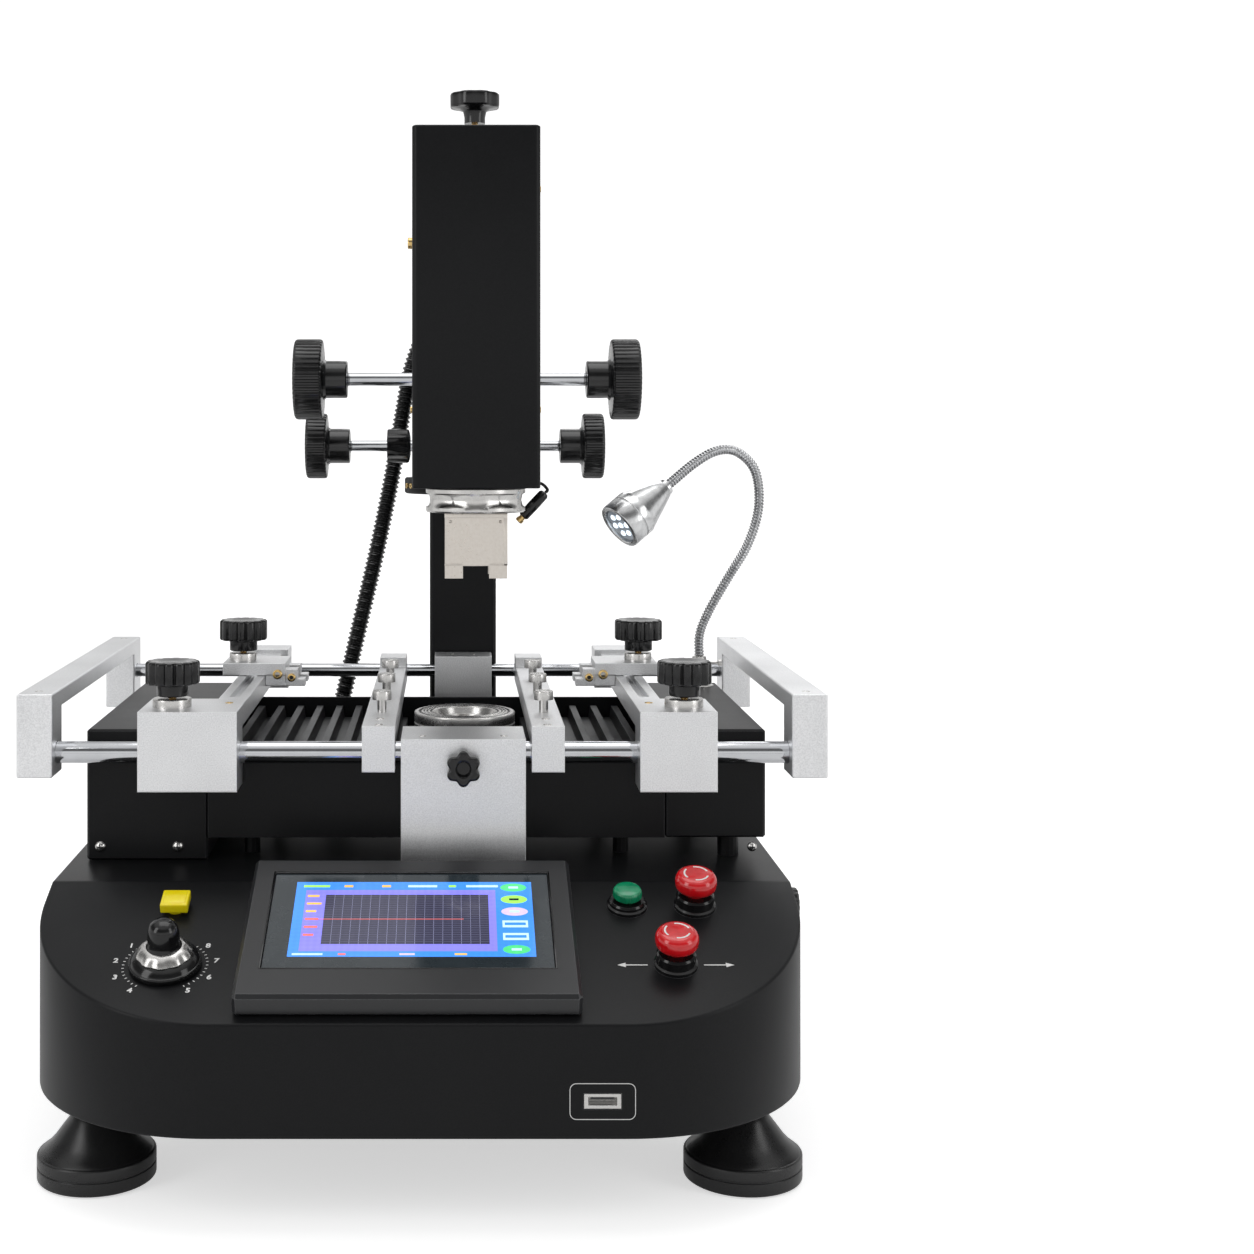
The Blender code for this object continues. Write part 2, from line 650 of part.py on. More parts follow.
def make_heater_plates():
    front = TRAY_FRONT_Y + TRAY_WALL + HEATER_EDGE
    back = TRAY_BACK_Y - TRAY_WALL - HEATER_EDGE
    bay_front = AIR_Y - LOWER_NOZZLE_RADIUS - 0.004
    bay_back = AIR_Y + LOWER_NOZZLE_RADIUS + 0.004
    ribbed_plate("heater_left", TRAY_LEFT_X + TRAY_WALL + 0.004, AIR_X - AIR_BAY_HALF, front, back)
    ribbed_plate("heater_right", AIR_X + AIR_BAY_HALF, TRAY_RIGHT_X - TRAY_WALL - 0.004, front, back)
    ribbed_plate("heater_front", AIR_X - AIR_PLATE_HALF, AIR_X + AIR_PLATE_HALF, front, bay_front)
    ribbed_plate("heater_back", AIR_X - AIR_PLATE_HALF, AIR_X + AIR_PLATE_HALF, bay_back, back)


def make_lower_nozzle():
    """The lower air nozzle: a dished ring with an air grid, on its riser tube."""
    top = LOWER_NOZZLE_TOP_Z
    rim = LOWER_NOZZLE_RADIUS
    floor = TRAY_BOTTOM_Z + TRAY_WALL + GAP
    low = top - LOWER_NOZZLE_HEIGHT
    profile = [(0.0, top - 0.010), (0.019, top - 0.010), (0.024, top - 0.006), (0.026, top),
               (rim - 0.001, top), (rim, top - 0.001), (rim - 0.002, low), (0.022, low),
               (0.022, floor), (0.0, floor)]
    nozzle = turned("lower_nozzle", profile, "nozzle_steel", 28)
    nozzle.location = (AIR_X, AIR_Y, 0)
    for index in range(6):
        angle = math.tau * index / 6
        x = AIR_X + 0.012 * math.cos(angle)
        y = AIR_Y + 0.012 * math.sin(angle)
        cut(nozzle, rod(f"air_hole_{index}", (x, y, top - 0.016), (x, y, top), 0.0022, sides=8))
    cut(nozzle, rod("air_hole_centre", (AIR_X, AIR_Y, top - 0.016), (AIR_X, AIR_Y, top), 0.003,
                    sides=10))


def make_side_housings():
    inner = {"left": (SIDE_LEFT_X, TRAY_LEFT_X - GAP, DECK_Z + GAP),
             "right": (TRAY_RIGHT_X + GAP, SIDE_RIGHT_X, TRAY_BOTTOM_Z)}
    for name, (low_x, high_x, bottom) in inner.items():
        housing = box("side_housing_" + name, (low_x, TRAY_FRONT_Y, bottom),
                      (high_x, TRAY_BACK_Y, TRAY_TOP_Z), "black_paint", EDGE)
        if name == "right":
            for y in (TRAY_FRONT_Y + 0.02, TRAY_BACK_Y - 0.02):
                x = high_x - 0.025
                unite(housing, rod(f"right_post_{y:.2f}", (x, y, DECK_Z + GAP),
                                   (x, y, bottom + 0.004), 0.008, sides=16))
            x, y = LAMP_FOOT
            unite(housing, rod("lamp_post", (x, y, TRAY_TOP_Z - 0.004),
                               (x, y, TRAY_TOP_Z + LAMP_POST_HEIGHT), LAMP_POST_RADIUS, sides=20))


make_heater()
make_heater_plates()
make_lower_nozzle()
make_side_housings()


# Board table


def make_rods():
    ends = HANDLE_OUTER_X - HANDLE_WIDTH + ROD_SEAT
    rods = {"front_rod": (FRONT_ROD_Y, FRONT_ROD_Z, FRONT_ROD_RADIUS),
            "rear_rod": (REAR_ROD_Y, REAR_ROD_Z, REAR_ROD_RADIUS)}
    for name, (y, z, radius) in rods.items():
        rod(name, (-ends, y, z), (ends, y, z), radius, "polished_steel")


def rod_bores(part, low_x, high_x, tag):
    """Clearance bores for both rods through a piece that sits on them."""
    for name, y, z, radius in (("front", FRONT_ROD_Y, FRONT_ROD_Z, FRONT_ROD_RADIUS),
                               ("rear", REAR_ROD_Y, REAR_ROD_Z, REAR_ROD_RADIUS)):
        cut(part, rod(f"bore_{name}_{tag}", (low_x, y, z), (high_x, y, z),
                      radius + ROD_CLEARANCE))


def make_handles():
    """The two end handles: a post at the front and back and a grip bar across the top."""
    for side, name in ((-1, "left"), (1, "right")):
        outer = side * HANDLE_OUTER_X
        inner = side * (HANDLE_OUTER_X - HANDLE_WIDTH)
        low_x, high_x = min(outer, inner), max(outer, inner)
        bottom = HANDLE_TOP_Z - HANDLE_POST_HEIGHT
        handle = box("end_handle_" + name, (low_x, HANDLE_FRONT_Y, bottom),
                     (high_x, HANDLE_BACK_Y, HANDLE_TOP_Z), "aluminium")
        cut(handle, box("grip_gap_" + name,
                        (low_x - 0.01, HANDLE_FRONT_Y + HANDLE_POST_DEPTH, bottom - 0.01),
                        (high_x + 0.01, HANDLE_BACK_Y - HANDLE_POST_DEPTH,
                         HANDLE_TOP_Z - HANDLE_BAR)))
        round_edges(handle, 0.0008)
        deep = inner + side * (ROD_SEAT + GAP)
        start = inner - side * 0.01
        rod_bores(handle, min(start, deep), max(start, deep), "handle_" + name)


def make_fixed_blocks():
    for name, (low, high) in (("centre_block", CENTRE_BLOCK), ("rear_block", BACK_BLOCK)):
        low = Vector(low) + Vector((0, 0, GAP))
        block = box(name, low, high, "aluminium")
        if name == "centre_block":
            unite(block, box("centre_ledge", (low.x, high[1] - 0.010, CENTRE_LEDGE_Z),
                             (high[0], CENTRE_LEDGE_BACK_Y, high[2])))
        rod_bores(block, low.x - 0.01, high[0] + 0.01, name)
    x = (CENTRE_BLOCK[0][0] + CENTRE_BLOCK[1][0]) / 2
    cut(bpy.data.objects["centre_block"],
        rod("lock_bore", (x, CENTRE_BLOCK[0][1] - 0.01, LOCK_Z), (x, LOCK_STUD_END_Y, LOCK_Z),
            LOCK_STUD_RADIUS + ROD_CLEARANCE, sides=16))
    knob = outline_prism("centre_lock_knob", lobe_outline(6, LOCK_RADIUS, 0.0028, 5),
                         LOCK_THICK, "black_plastic")
    stud = rod("lock_stud", (0, 0, -0.0055), (0, 0, 0.004), LOCK_STUD_RADIUS, sides=16)
    unite(knob, stud)
    place = frame_along((x, CENTRE_BLOCK[0][1] - 0.0012, LOCK_Z), (0, -1, 0))
    for part in (knob, stud):
        stand(part, place)


def star_knob(name, x, y, seat_z):
    """A lobed clamping knob on a threaded stud, above its seat ring."""
    low = seat_z + STAR_LIFT
    knob = outline_prism(name, lobe_outline(STAR_LOBES, STAR_RADIUS, 0.0022), STAR_HEIGHT,
                         "black_plastic")
    knob.data.transform(Matrix.Translation((0, 0, low)))
    hub = rod(name + "_hub", (0, 0, low - 0.009), (0, 0, low + 0.002), 0.0115, sides=20)
    stud = rod(name + "_stud", (0, 0, seat_z - STUD_DEPTH), (0, 0, low), STUD_RADIUS, sides=12)
    for part in (knob, hub, stud):
        part.location = (x, y, 0)
    unite(knob, hub)
    unite(knob, stud)
    return knob


def make_carriages():
    """Each carriage: a block on the front rod, one on the rear rod, and the rail between."""
    for name, (low_x, high_x, inward) in CARRIAGES.items():
        rear_back_y = REAR_ROD_Y + REAR_BLOCK_DEPTH / 2
        carriage = box("carriage_" + name, (low_x, CARRIAGE_FRONT_Y, CARRIAGE_BOTTOM_Z),
                       (high_x, CARRIAGE_FRONT_Y + CARRIAGE_BLOCK_DEPTH, CARRIAGE_TOP_Z),
                       "aluminium")
        rail_x = high_x - RAIL_WIDTH if inward > 0 else low_x
        rail = box(f"rail_{name}", (rail_x, CARRIAGE_FRONT_Y + 0.02, RAIL_BOTTOM_Z),
                   (rail_x + RAIL_WIDTH, rear_back_y, CARRIAGE_TOP_Z - 0.0003))
        rear = box(f"rear_shoe_{name}",
                   (rail_x - 0.006, REAR_ROD_Y - REAR_BLOCK_DEPTH / 2, REAR_ROD_Z - 0.014),
                   (rail_x + RAIL_WIDTH + 0.006, rear_back_y, CARRIAGE_TOP_Z + 0.004))
        shelf = box(f"shelf_{name}", (low_x, CARRIAGE_FRONT_Y, RAIL_BOTTOM_Z),
                    (high_x, CARRIAGE_FRONT_Y + CARRIAGE_SHELF_DEPTH, CARRIAGE_TOP_Z))
        unite(carriage, shelf)
        unite(carriage, rail)
        unite(carriage, rear)
        rod_bores(carriage, low_x - 0.01, high_x + 0.01, "carriage_" + name)
        cut(carriage, box(f"rail_slot_{name}",
                          (rail_x + 0.007, CARRIAGE_FRONT_Y + 0.080, CARRIAGE_TOP_Z - 0.006),
                          (rail_x + RAIL_WIDTH - 0.007, REAR_ROD_Y - 0.030,
                           CARRIAGE_TOP_Z + 0.01)))
        knob_x = low_x + 0.021 if inward > 0 else high_x - 0.021
        knob_y = CARRIAGE_FRONT_Y + 0.028
        for tag, x, y in (("front", knob_x, knob_y),):
            seat = rod(f"seat_{name}_{tag}", (x, y, CARRIAGE_TOP_Z - 0.002),
                       (x, y, CARRIAGE_TOP_Z + SEAT_HEIGHT), STAR_SEAT_RADIUS, sides=24)
            unite(carriage, seat)
            seat_top = CARRIAGE_TOP_Z + SEAT_HEIGHT
            cut(carriage, rod(f"stud_bore_{name}_{tag}", (x, y, seat_top - STUD_DEPTH - 0.0005),
                              (x, y, seat_top + 0.01), STUD_RADIUS + ROD_CLEARANCE, sides=12))
            star_knob(f"star_knob_{name}_{tag}", x, y, seat_top)


def make_board_clamps():
    """A clamp slide on each rail, held by its own star knob, with spring fingers inboard."""
    for name, (low_x, high_x, inward) in CARRIAGES.items():
        rail_x = high_x - RAIL_WIDTH if inward > 0 else low_x
        centre_x = rail_x + RAIL_WIDTH / 2
        base_z = CARRIAGE_TOP_Z + GAP
        back = CLAMP_Y + CLAMP_DEPTH / 2
        front = CLAMP_Y - CLAMP_DEPTH / 2
        out_x = centre_x - inward * CLAMP_OUTER
        in_x = centre_x + inward * CLAMP_INNER
        slide = box("board_clamp_" + name, (min(out_x, in_x), front, base_z),
                    (max(out_x, in_x), back, base_z + CLAMP_HEIGHT), "aluminium")
        edge_x = rail_x + RAIL_WIDTH + GAP if inward > 0 else rail_x - GAP
        jaw = box(f"jaw_{name}", (min(edge_x, in_x), front + 0.002, JAW_BOTTOM_Z),
                  (max(edge_x, in_x), back - 0.002, base_z + CLAMP_HEIGHT - 0.001))
        unite(slide, jaw)
        for index in (-1, 1):
            finger_y = CLAMP_Y + index * FINGER_SPACING / 2
            tip_x = in_x + inward * FINGER_REACH
            finger = box(f"finger_{name}_{index}",
                         (min(tip_x, in_x - inward * 0.003), finger_y - 0.007, JAW_BOTTOM_Z),
                         (max(tip_x, in_x - inward * 0.003), finger_y + 0.007, JAW_BOTTOM_Z + 0.014))
            unite(slide, finger)
            cut(slide, box(f"board_step_{name}_{index}",
                           (min(tip_x + inward * 0.01, tip_x - inward * 0.006), finger_y - 0.02,
                            JAW_BOTTOM_Z + 0.006),
                           (max(tip_x + inward * 0.01, tip_x - inward * 0.006), finger_y + 0.02,
                            JAW_BOTTOM_Z + 0.03)))
        knob_x = centre_x - inward * (CLAMP_OUTER - STAR_SEAT_RADIUS)
        seat_top = base_z + CLAMP_HEIGHT + SEAT_HEIGHT
        seat = rod(f"clamp_seat_{name}", (knob_x, CLAMP_Y, base_z + 0.002),
                   (knob_x, CLAMP_Y, seat_top), STAR_SEAT_RADIUS * 0.8, sides=20)
        unite(slide, seat)
        cut(slide, rod(f"clamp_bore_{name}", (knob_x, CLAMP_Y, seat_top - STUD_DEPTH - 0.0005),
                       (knob_x, CLAMP_Y, seat_top + 0.01), STUD_RADIUS + ROD_CLEARANCE, sides=12))
        star_knob(f"star_knob_{name}_rear", knob_x, CLAMP_Y, seat_top)


def make_bars():
    """The two board support bars, each with three round-headed rest pins."""
    for name, x in BARS.items():
        front = FRONT_ROD_Y - 0.014
        back = REAR_ROD_Y + 0.016
        half = BAR_WIDTH / 2
        bar = box("support_bar_" + name, (x - half, front, BAR_BOTTOM_Z), (x + half, back, BAR_TOP_Z),
                  "aluminium")
        cut(bar, box(f"bar_notch_{name}", (x - 0.02, front + BAR_NOSE_DEPTH, BAR_BOTTOM_Z - 0.01),
                     (x + 0.02, back + 0.01, BAR_NOTCH_Z)))
        tail = box(f"bar_tail_{name}", (x - half, REAR_ROD_Y - 0.016, BAR_NOTCH_Z),
                   (x + half, back, REAR_ROD_Z + 0.0135))
        unite(bar, tail)
        for index, y in enumerate(PIN_YS):
            stem = rod(f"pin_{name}_{index}", (x, y, BAR_TOP_Z - 0.002),
                       (x, y, BAR_TOP_Z + PIN_HEIGHT - 0.003), PIN_RADIUS, sides=12)
            head = rod(f"pin_head_{name}_{index}", (x, y, BAR_TOP_Z + PIN_HEIGHT - 0.006),
                       (x, y, BAR_TOP_Z + PIN_HEIGHT), PIN_HEAD_RADIUS, sides=12)
            unite(bar, stem)
            unite(bar, head)
        rod_bores(bar, x - 0.03, x + 0.03, "bar_" + name)


make_rods()
make_handles()
make_fixed_blocks()
make_carriages()
make_board_clamps()
make_bars()


# Column and swivel arm


def make_column():
    """A black extruded column with a groove down each face and a turned spigot on top."""
    half_w, half_d = COLUMN_WIDTH / 2, COLUMN_DEPTH / 2
    column = box("column", (COLUMN_X - half_w, COLUMN_Y - half_d, DECK_Z + GAP),
                 (COLUMN_X + half_w, COLUMN_Y + half_d, COLLAR_BOTTOM_Z - GAP), "black_paint")
    for side in (-1, 1):
        x = COLUMN_X + side * half_w
        cut(column, box(f"column_groove_{side}",
                        (x - COLUMN_GROOVE, COLUMN_Y - COLUMN_GROOVE, DECK_Z - 0.01),
                        (x + COLUMN_GROOVE, COLUMN_Y + COLUMN_GROOVE, COLUMN_TOP_Z)))
    round_edges(column, 0.002)
    unite(column, rod("spigot", (COLUMN_X, COLUMN_Y, COLLAR_BOTTOM_Z - 0.01),
                      (COLUMN_X, COLUMN_Y, SPIGOT_TOP_Z), SPIGOT_RADIUS))


def make_swivel():
    """The collar that turns on the column, and the saddle that the arm slides through."""
    bore = SPIGOT_RADIUS + ROD_CLEARANCE
    ring_top = SADDLE_BOTTOM_Z - GAP
    collar_top = COLLAR_BOTTOM_Z + COLLAR_RING_HEIGHT
    profile = [(bore, ring_top), (TURNTABLE_RADIUS, ring_top), (TURNTABLE_RADIUS, collar_top),
               (COLLAR_RING_RADIUS - 0.002, collar_top), (COLLAR_RING_RADIUS, collar_top - 0.002),
               (COLLAR_RING_RADIUS, COLLAR_BOTTOM_Z), (bore, COLLAR_BOTTOM_Z), (bore, ring_top)]
    ring = turned("swivel_collar", profile, "black_paint", 40)
    ring.location = (COLUMN_X, COLUMN_Y, 0)
    half = SADDLE_WIDTH / 2
    saddle = box("arm_saddle", (COLUMN_X - half, SADDLE_FRONT_Y, SADDLE_BOTTOM_Z),
                 (COLUMN_X + half, SADDLE_BACK_Y, SADDLE_TOP_Z), "grey_paint")
    slot = BEAM_WIDTH / 2 + GAP
    cut(saddle, box("saddle_channel", (COLUMN_X - slot, SADDLE_FRONT_Y - 0.01, SADDLE_FLOOR_Z),
                    (COLUMN_X + slot, SADDLE_BACK_Y + 0.01, SADDLE_TOP_Z + 0.01)))
    cut(saddle, rod("saddle_bore", (COLUMN_X - half - 0.01, ARM_SHAFT_Y, ARM_SHAFT_Z),
                    (COLUMN_X + half + 0.01, ARM_SHAFT_Y, ARM_SHAFT_Z),
                    ARM_SHAFT_RADIUS + ROD_CLEARANCE, sides=16))
    cut(saddle, rod("spigot_bore", (COLUMN_X, COLUMN_Y, SADDLE_BOTTOM_Z - 0.01),
                    (COLUMN_X, COLUMN_Y, SPIGOT_TOP_Z + 0.0006), bore))
    pivot(saddle, (COLUMN_X, COLUMN_Y, SADDLE_BOTTOM_Z))
    for name in ("saddle_channel", "saddle_bore", "spigot_bore"):
        pivot(bpy.data.objects[name], (COLUMN_X, COLUMN_Y, SADDLE_BOTTOM_Z))


def handwheel(name, centre_x, side, outer, y, z, radius, shaft_radius, thick):
    """A ribbed knob with a hub that faces the machine and a blind bore for the shaft."""
    out_x = centre_x + side * outer
    inner_x = out_x - side * thick
    wheel = outline_prism(name, gear_outline(KNOB_RIBS, radius, 0.0012), thick, "black_plastic")
    dish = rod(name + "_dish", (0, 0, thick - 0.003), (0, 0, thick + 0.01), radius * 0.72, sides=28)
    hub = rod(name + "_hub", (0, 0, -HUB_LENGTH), (0, 0, 0.002), HUB_RADIUS, sides=24)
    bore = rod(name + "_bore", (0, 0, -HUB_LENGTH - 0.01), (0, 0, thick * 0.5),
               shaft_radius + GAP, sides=20)
    cut(wheel, dish)
    unite(wheel, hub)
    cut(wheel, bore)
    for part in (wheel, dish, hub, bore):
        stand(part, frame_along((inner_x, y, z), (side, 0, 0)))
    return inner_x + side * (thick * 0.5 - GAP)


def make_handwheels():
    sets = (("height", HEAD_CENTRE_X, HEAD_KNOB_OUTER, HEAD_SHAFT_Y, HEAD_SHAFT_Z,
             HEAD_KNOB_RADIUS, HEAD_SHAFT_RADIUS, KNOB_THICK),
            ("reach", ARM_CENTRE_X, ARM_KNOB_OUTER, ARM_SHAFT_Y, ARM_SHAFT_Z,
             ARM_KNOB_RADIUS, ARM_SHAFT_RADIUS, ARM_KNOB_THICK))
    for name, centre, outer, y, z, radius, shaft_radius, thick in sets:
        ends = [handwheel(f"{name}_knob_{label}", centre, side, outer, y, z, radius,
                          shaft_radius, thick) for side, label in ((-1, "left"), (1, "right"))]
        rod(name + "_shaft", (ends[0], y, z), (ends[1], y, z), shaft_radius, "polished_steel",
            sides=20)


def make_beam():
    """The arm: an extruded bar, its end cap, and the slider block at its front."""
    half = BEAM_WIDTH / 2
    beam = box("arm_beam", (COLUMN_X - half, BEAM_FRONT_Y - 0.001, BEAM_BOTTOM_Z),
               (COLUMN_X + half, BEAM_BACK_Y, BEAM_TOP_Z), "grey_paint")
    for side in (-1, 1):
        x = COLUMN_X + side * half
        for height in (0.052, 0.066):
            cut(beam, box(f"beam_groove_{side}_{height}",
                          (x - BEAM_GROOVE, BEAM_FRONT_Y + 0.030, BEAM_BOTTOM_Z + height),
                          (x + BEAM_GROOVE, BEAM_BACK_Y + 0.01, BEAM_BOTTOM_Z + height + 0.006)))
    slide_half = SLIDER_WIDTH / 2
    slider = box("slider_block", (HEAD_X - slide_half, SLIDER_FRONT_Y, BEAM_BOTTOM_Z),
                 (HEAD_X + slide_half, BEAM_FRONT_Y + 0.010, BEAM_TOP_Z))
    unite(beam, slider)
    for side in (-1, 1):
        x = HEAD_X + side * SLIDE_ROD_SPACING / 2
        cut(beam, rod(f"slide_bore_{side}", (x, SLIDE_ROD_Y, BEAM_BOTTOM_Z - 0.01),
                      (x, SLIDE_ROD_Y, BEAM_TOP_Z + 0.01), SLIDE_ROD_RADIUS + SLIDE_CLEARANCE))
    cut(beam, rod("height_bore", (HEAD_X - 0.06, HEAD_SHAFT_Y, HEAD_SHAFT_Z),
                  (HEAD_X + 0.06, HEAD_SHAFT_Y, HEAD_SHAFT_Z),
                  HEAD_SHAFT_RADIUS + ROD_CLEARANCE, sides=20))
    box("arm_end_cap", (COLUMN_X - half - 0.004, BEAM_BACK_Y + GAP, BEAM_BOTTOM_Z - 0.002),
        (COLUMN_X + half + 0.004, END_CAP_BACK_Y, BEAM_TOP_Z + 0.002), "aluminium", EDGE)


make_column()
make_swivel()
make_beam()
make_handwheels()


# Heating head


def make_head():
    half = HEAD_WIDTH / 2
    box("head_housing", (HEAD_X - half, HEAD_FRONT_Y, HEAD_BOTTOM_Z),
        (HEAD_X + half, HEAD_BACK_Y, HEAD_TOP_Z), "black_paint", 0.003)
    plates = (("slide_frame", BOTTOM_PLATE_Z), ("slide_top", TOP_PLATE_Z))
    plate_half = SLIDER_WIDTH / 2
    made = []
    for name, low in plates:
        finish = "black_paint" if name == "slide_frame" else None
        made.append(box(name, (HEAD_X - plate_half, HEAD_BACK_Y + GAP, low),
                        (HEAD_X + plate_half, SLIDE_PLATE_BACK_Y, low + SLIDE_PLATE_THICK), finish))
    frame, top = made
    spine = box("slide_spine", (HEAD_X - 0.016, HEAD_BACK_Y + GAP, BOTTOM_PLATE_Z + 0.002),
                (HEAD_X + 0.016, SLIDER_FRONT_Y - GAP, TOP_PLATE_Z + 0.002))
    unite(frame, spine)
    unite(frame, top)
    for side in (-1, 1):
        x = HEAD_X + side * SLIDE_ROD_SPACING / 2
        unite(frame, rod(f"slide_rod_{side}", (x, SLIDE_ROD_Y, BOTTOM_PLATE_Z + 0.004),
                         (x, SLIDE_ROD_Y, TOP_PLATE_Z + 0.004), SLIDE_ROD_RADIUS, sides=20))


def make_air_outlet():
    """The round flange under the head and the square nozzle that turns in it."""
    top = HEAD_BOTTOM_Z - GAP
    low = HEAD_BOTTOM_Z - FLANGE_HEIGHT
    bore = NOZZLE_NECK_RADIUS + ROD_CLEARANCE
    profile = [(0.0, top), (FLANGE_RADIUS, top), (FLANGE_RADIUS, low), (bore, low),
               (bore, low + 0.012), (0.0, low + 0.012)]
    flange = turned("head_flange", profile, "aluminium", 40)
    flange.location = (HEAD_X, AIR_Y, 0)
    nozzle_top = low - GAP
    nozzle = box("hot_air_nozzle", (HEAD_X - NOZZLE_HALF, AIR_Y - NOZZLE_HALF, NOZZLE_BOTTOM_Z),
                 (HEAD_X + NOZZLE_HALF, AIR_Y + NOZZLE_HALF, nozzle_top), "nozzle_steel")
    inner = NOZZLE_HALF - NOZZLE_WALL
    cut(nozzle, box("nozzle_hollow", (HEAD_X - inner, AIR_Y - inner, NOZZLE_BOTTOM_Z - 0.01),
                    (HEAD_X + inner, AIR_Y + inner, nozzle_top - 0.008)))
    for tag, dx, dy in (("x", 1, 0), ("y", 0, 1)):
        cut(nozzle, box("nozzle_notch_" + tag,
                        (HEAD_X - 0.05 * dx - 0.0105 * dy, AIR_Y - 0.05 * dy - 0.0105 * dx,
                         NOZZLE_BOTTOM_Z - 0.01),
                        (HEAD_X + 0.05 * dx + 0.0105 * dy, AIR_Y + 0.05 * dy + 0.0105 * dx,
                         NOZZLE_BOTTOM_Z + 0.010)))
    unite(nozzle, rod("nozzle_neck", (HEAD_X, AIR_Y, nozzle_top - 0.004),
                      (HEAD_X, AIR_Y, low + 0.0115), NOZZLE_NECK_RADIUS))


def make_head_top():
    """The hose elbow on the back of the head and the lock knob above it."""
    elbow = rod("hose_elbow", (HEAD_X, HEAD_BACK_Y + GAP, ELBOW_Z), (HEAD_X, ELBOW_END_Y, ELBOW_Z),
                ELBOW_RADIUS, "black_plastic")
    unite(elbow, rod("elbow_post", (HEAD_X, TOP_KNOB_Y, ELBOW_Z), (HEAD_X, TOP_KNOB_Y, TOP_POST_Z),
                     0.008, sides=16))
    low = TOP_POST_Z + GAP
    cut(elbow, rod("top_stud_bore", (HEAD_X, TOP_KNOB_Y, TOP_POST_Z - 0.008),
                   (HEAD_X, TOP_KNOB_Y, TOP_POST_Z + 0.02), STUD_RADIUS + ROD_CLEARANCE, sides=12))
    knob = outline_prism("top_lock_knob", lobe_outline(8, TOP_KNOB_RADIUS, 0.0018), 0.016,
                         "black_plastic")
    knob.data.transform(Matrix.Translation((0, 0, TOP_KNOB_Z - 0.016)))
    hub = rod("top_hub", (0, 0, low + 0.001), (0, 0, TOP_KNOB_Z - 0.014), 0.0085, sides=20)
    stud = rod("top_stud", (0, 0, TOP_POST_Z - 0.0072), (0, 0, low + 0.003), STUD_RADIUS, sides=12)
    for part in (knob, hub, stud):
        part.location = (HEAD_X, TOP_KNOB_Y, 0)
    unite(knob, hub)
    unite(knob, stud)


def smooth_route(points, count):
    """A smooth curve through a route's points, read at even steps."""
    path = [Vector(point) for point in points]
    padded = [2 * path[0] - path[1]] + path + [2 * path[-1] - path[-2]]
    out = []
    for step in range(count + 1):
        place = step / count * (len(path) - 1)
        index = min(int(place), len(path) - 2)
        t = place - index
        before, start, end, after = padded[index:index + 4]
        out.append(0.5 * (2 * start + (end - before) * t
                          + (2 * before - 5 * start + 4 * end - after) * t * t
                          + (3 * start - before - 3 * end + after) * t ** 3))
    return out


def tube(name, route, count, radius, finish):
    """A round tube along a smooth route."""
    curve = bpy.data.curves.new(name, "CURVE")
    curve.dimensions = "3D"
    curve.bevel_depth = radius
    curve.bevel_resolution = 2
    curve.use_fill_caps = True
    points = smooth_route(route, count)
    spline = curve.splines.new("POLY")
    spline.points.add(len(points) - 1)
    for control, point in zip(spline.points, points):
        control.co = (*point, 1.0)
    curve.materials.append(FINISHES[finish])
    made = bpy.data.objects.new(name, curve)
    PARTS.objects.link(made)
    return made


def make_hose():
    tube("head_conduit", HOSE_ROUTE, HOSE_STEPS, HOSE_RADIUS, "rubber")


def make_lamp():
    """The gooseneck lamp: a fixed post, a socket that turns on it, the neck and the shade."""
    x, y = LAMP_FOOT
    post_top = TRAY_TOP_Z + LAMP_POST_HEIGHT
    start = Vector(LAMP_ROUTE[0])
    rod("lamp_socket", (x, y, post_top + GAP), (x, y, start.z - GAP), LAMP_POST_RADIUS - 0.001,
        "aluminium", sides=20, end_radius=0.006)
    tube("lamp_neck", LAMP_ROUTE, LAMP_STEPS, NECK_RADIUS, "polished_steel")
    aim = (Vector(LAMP_ROUTE[-1]) - Vector(LAMP_ROUTE[-2])).normalized()
    tip = Vector(LAMP_ROUTE[-1]) + aim * 2 * GAP
    length = LAMP_SHADE_LENGTH
    rim = LAMP_SHADE_RADIUS
    profile = [(0.0, length - 0.004), (rim - 0.005, length - 0.004), (rim - 0.004, length),
               (rim, length), (rim, length - 0.022), (0.008, 0.004), (0.007, 0.0), (0.0, 0.0)]
    shade = turned("lamp_shade", profile, "aluminium", 28)
    stand(shade, frame_along(tip, aim))


make_head()
make_air_outlet()
make_head_top()
make_hose()
make_lamp()


# Joint axes


def hang(name, point, *children):
    """Parents moving parts to an empty on the axis that they move about or along."""
    axis = bpy.data.objects.new("axis_" + name, None)
    axis.empty_display_size = 0.02
    PARTS.objects.link(axis)
    axis.location = point
    bpy.context.view_layer.update()
    for child in children:
        part = bpy.data.objects[child]
        part.parent = axis
        part.matrix_parent_inverse = axis.matrix_world.inverted()


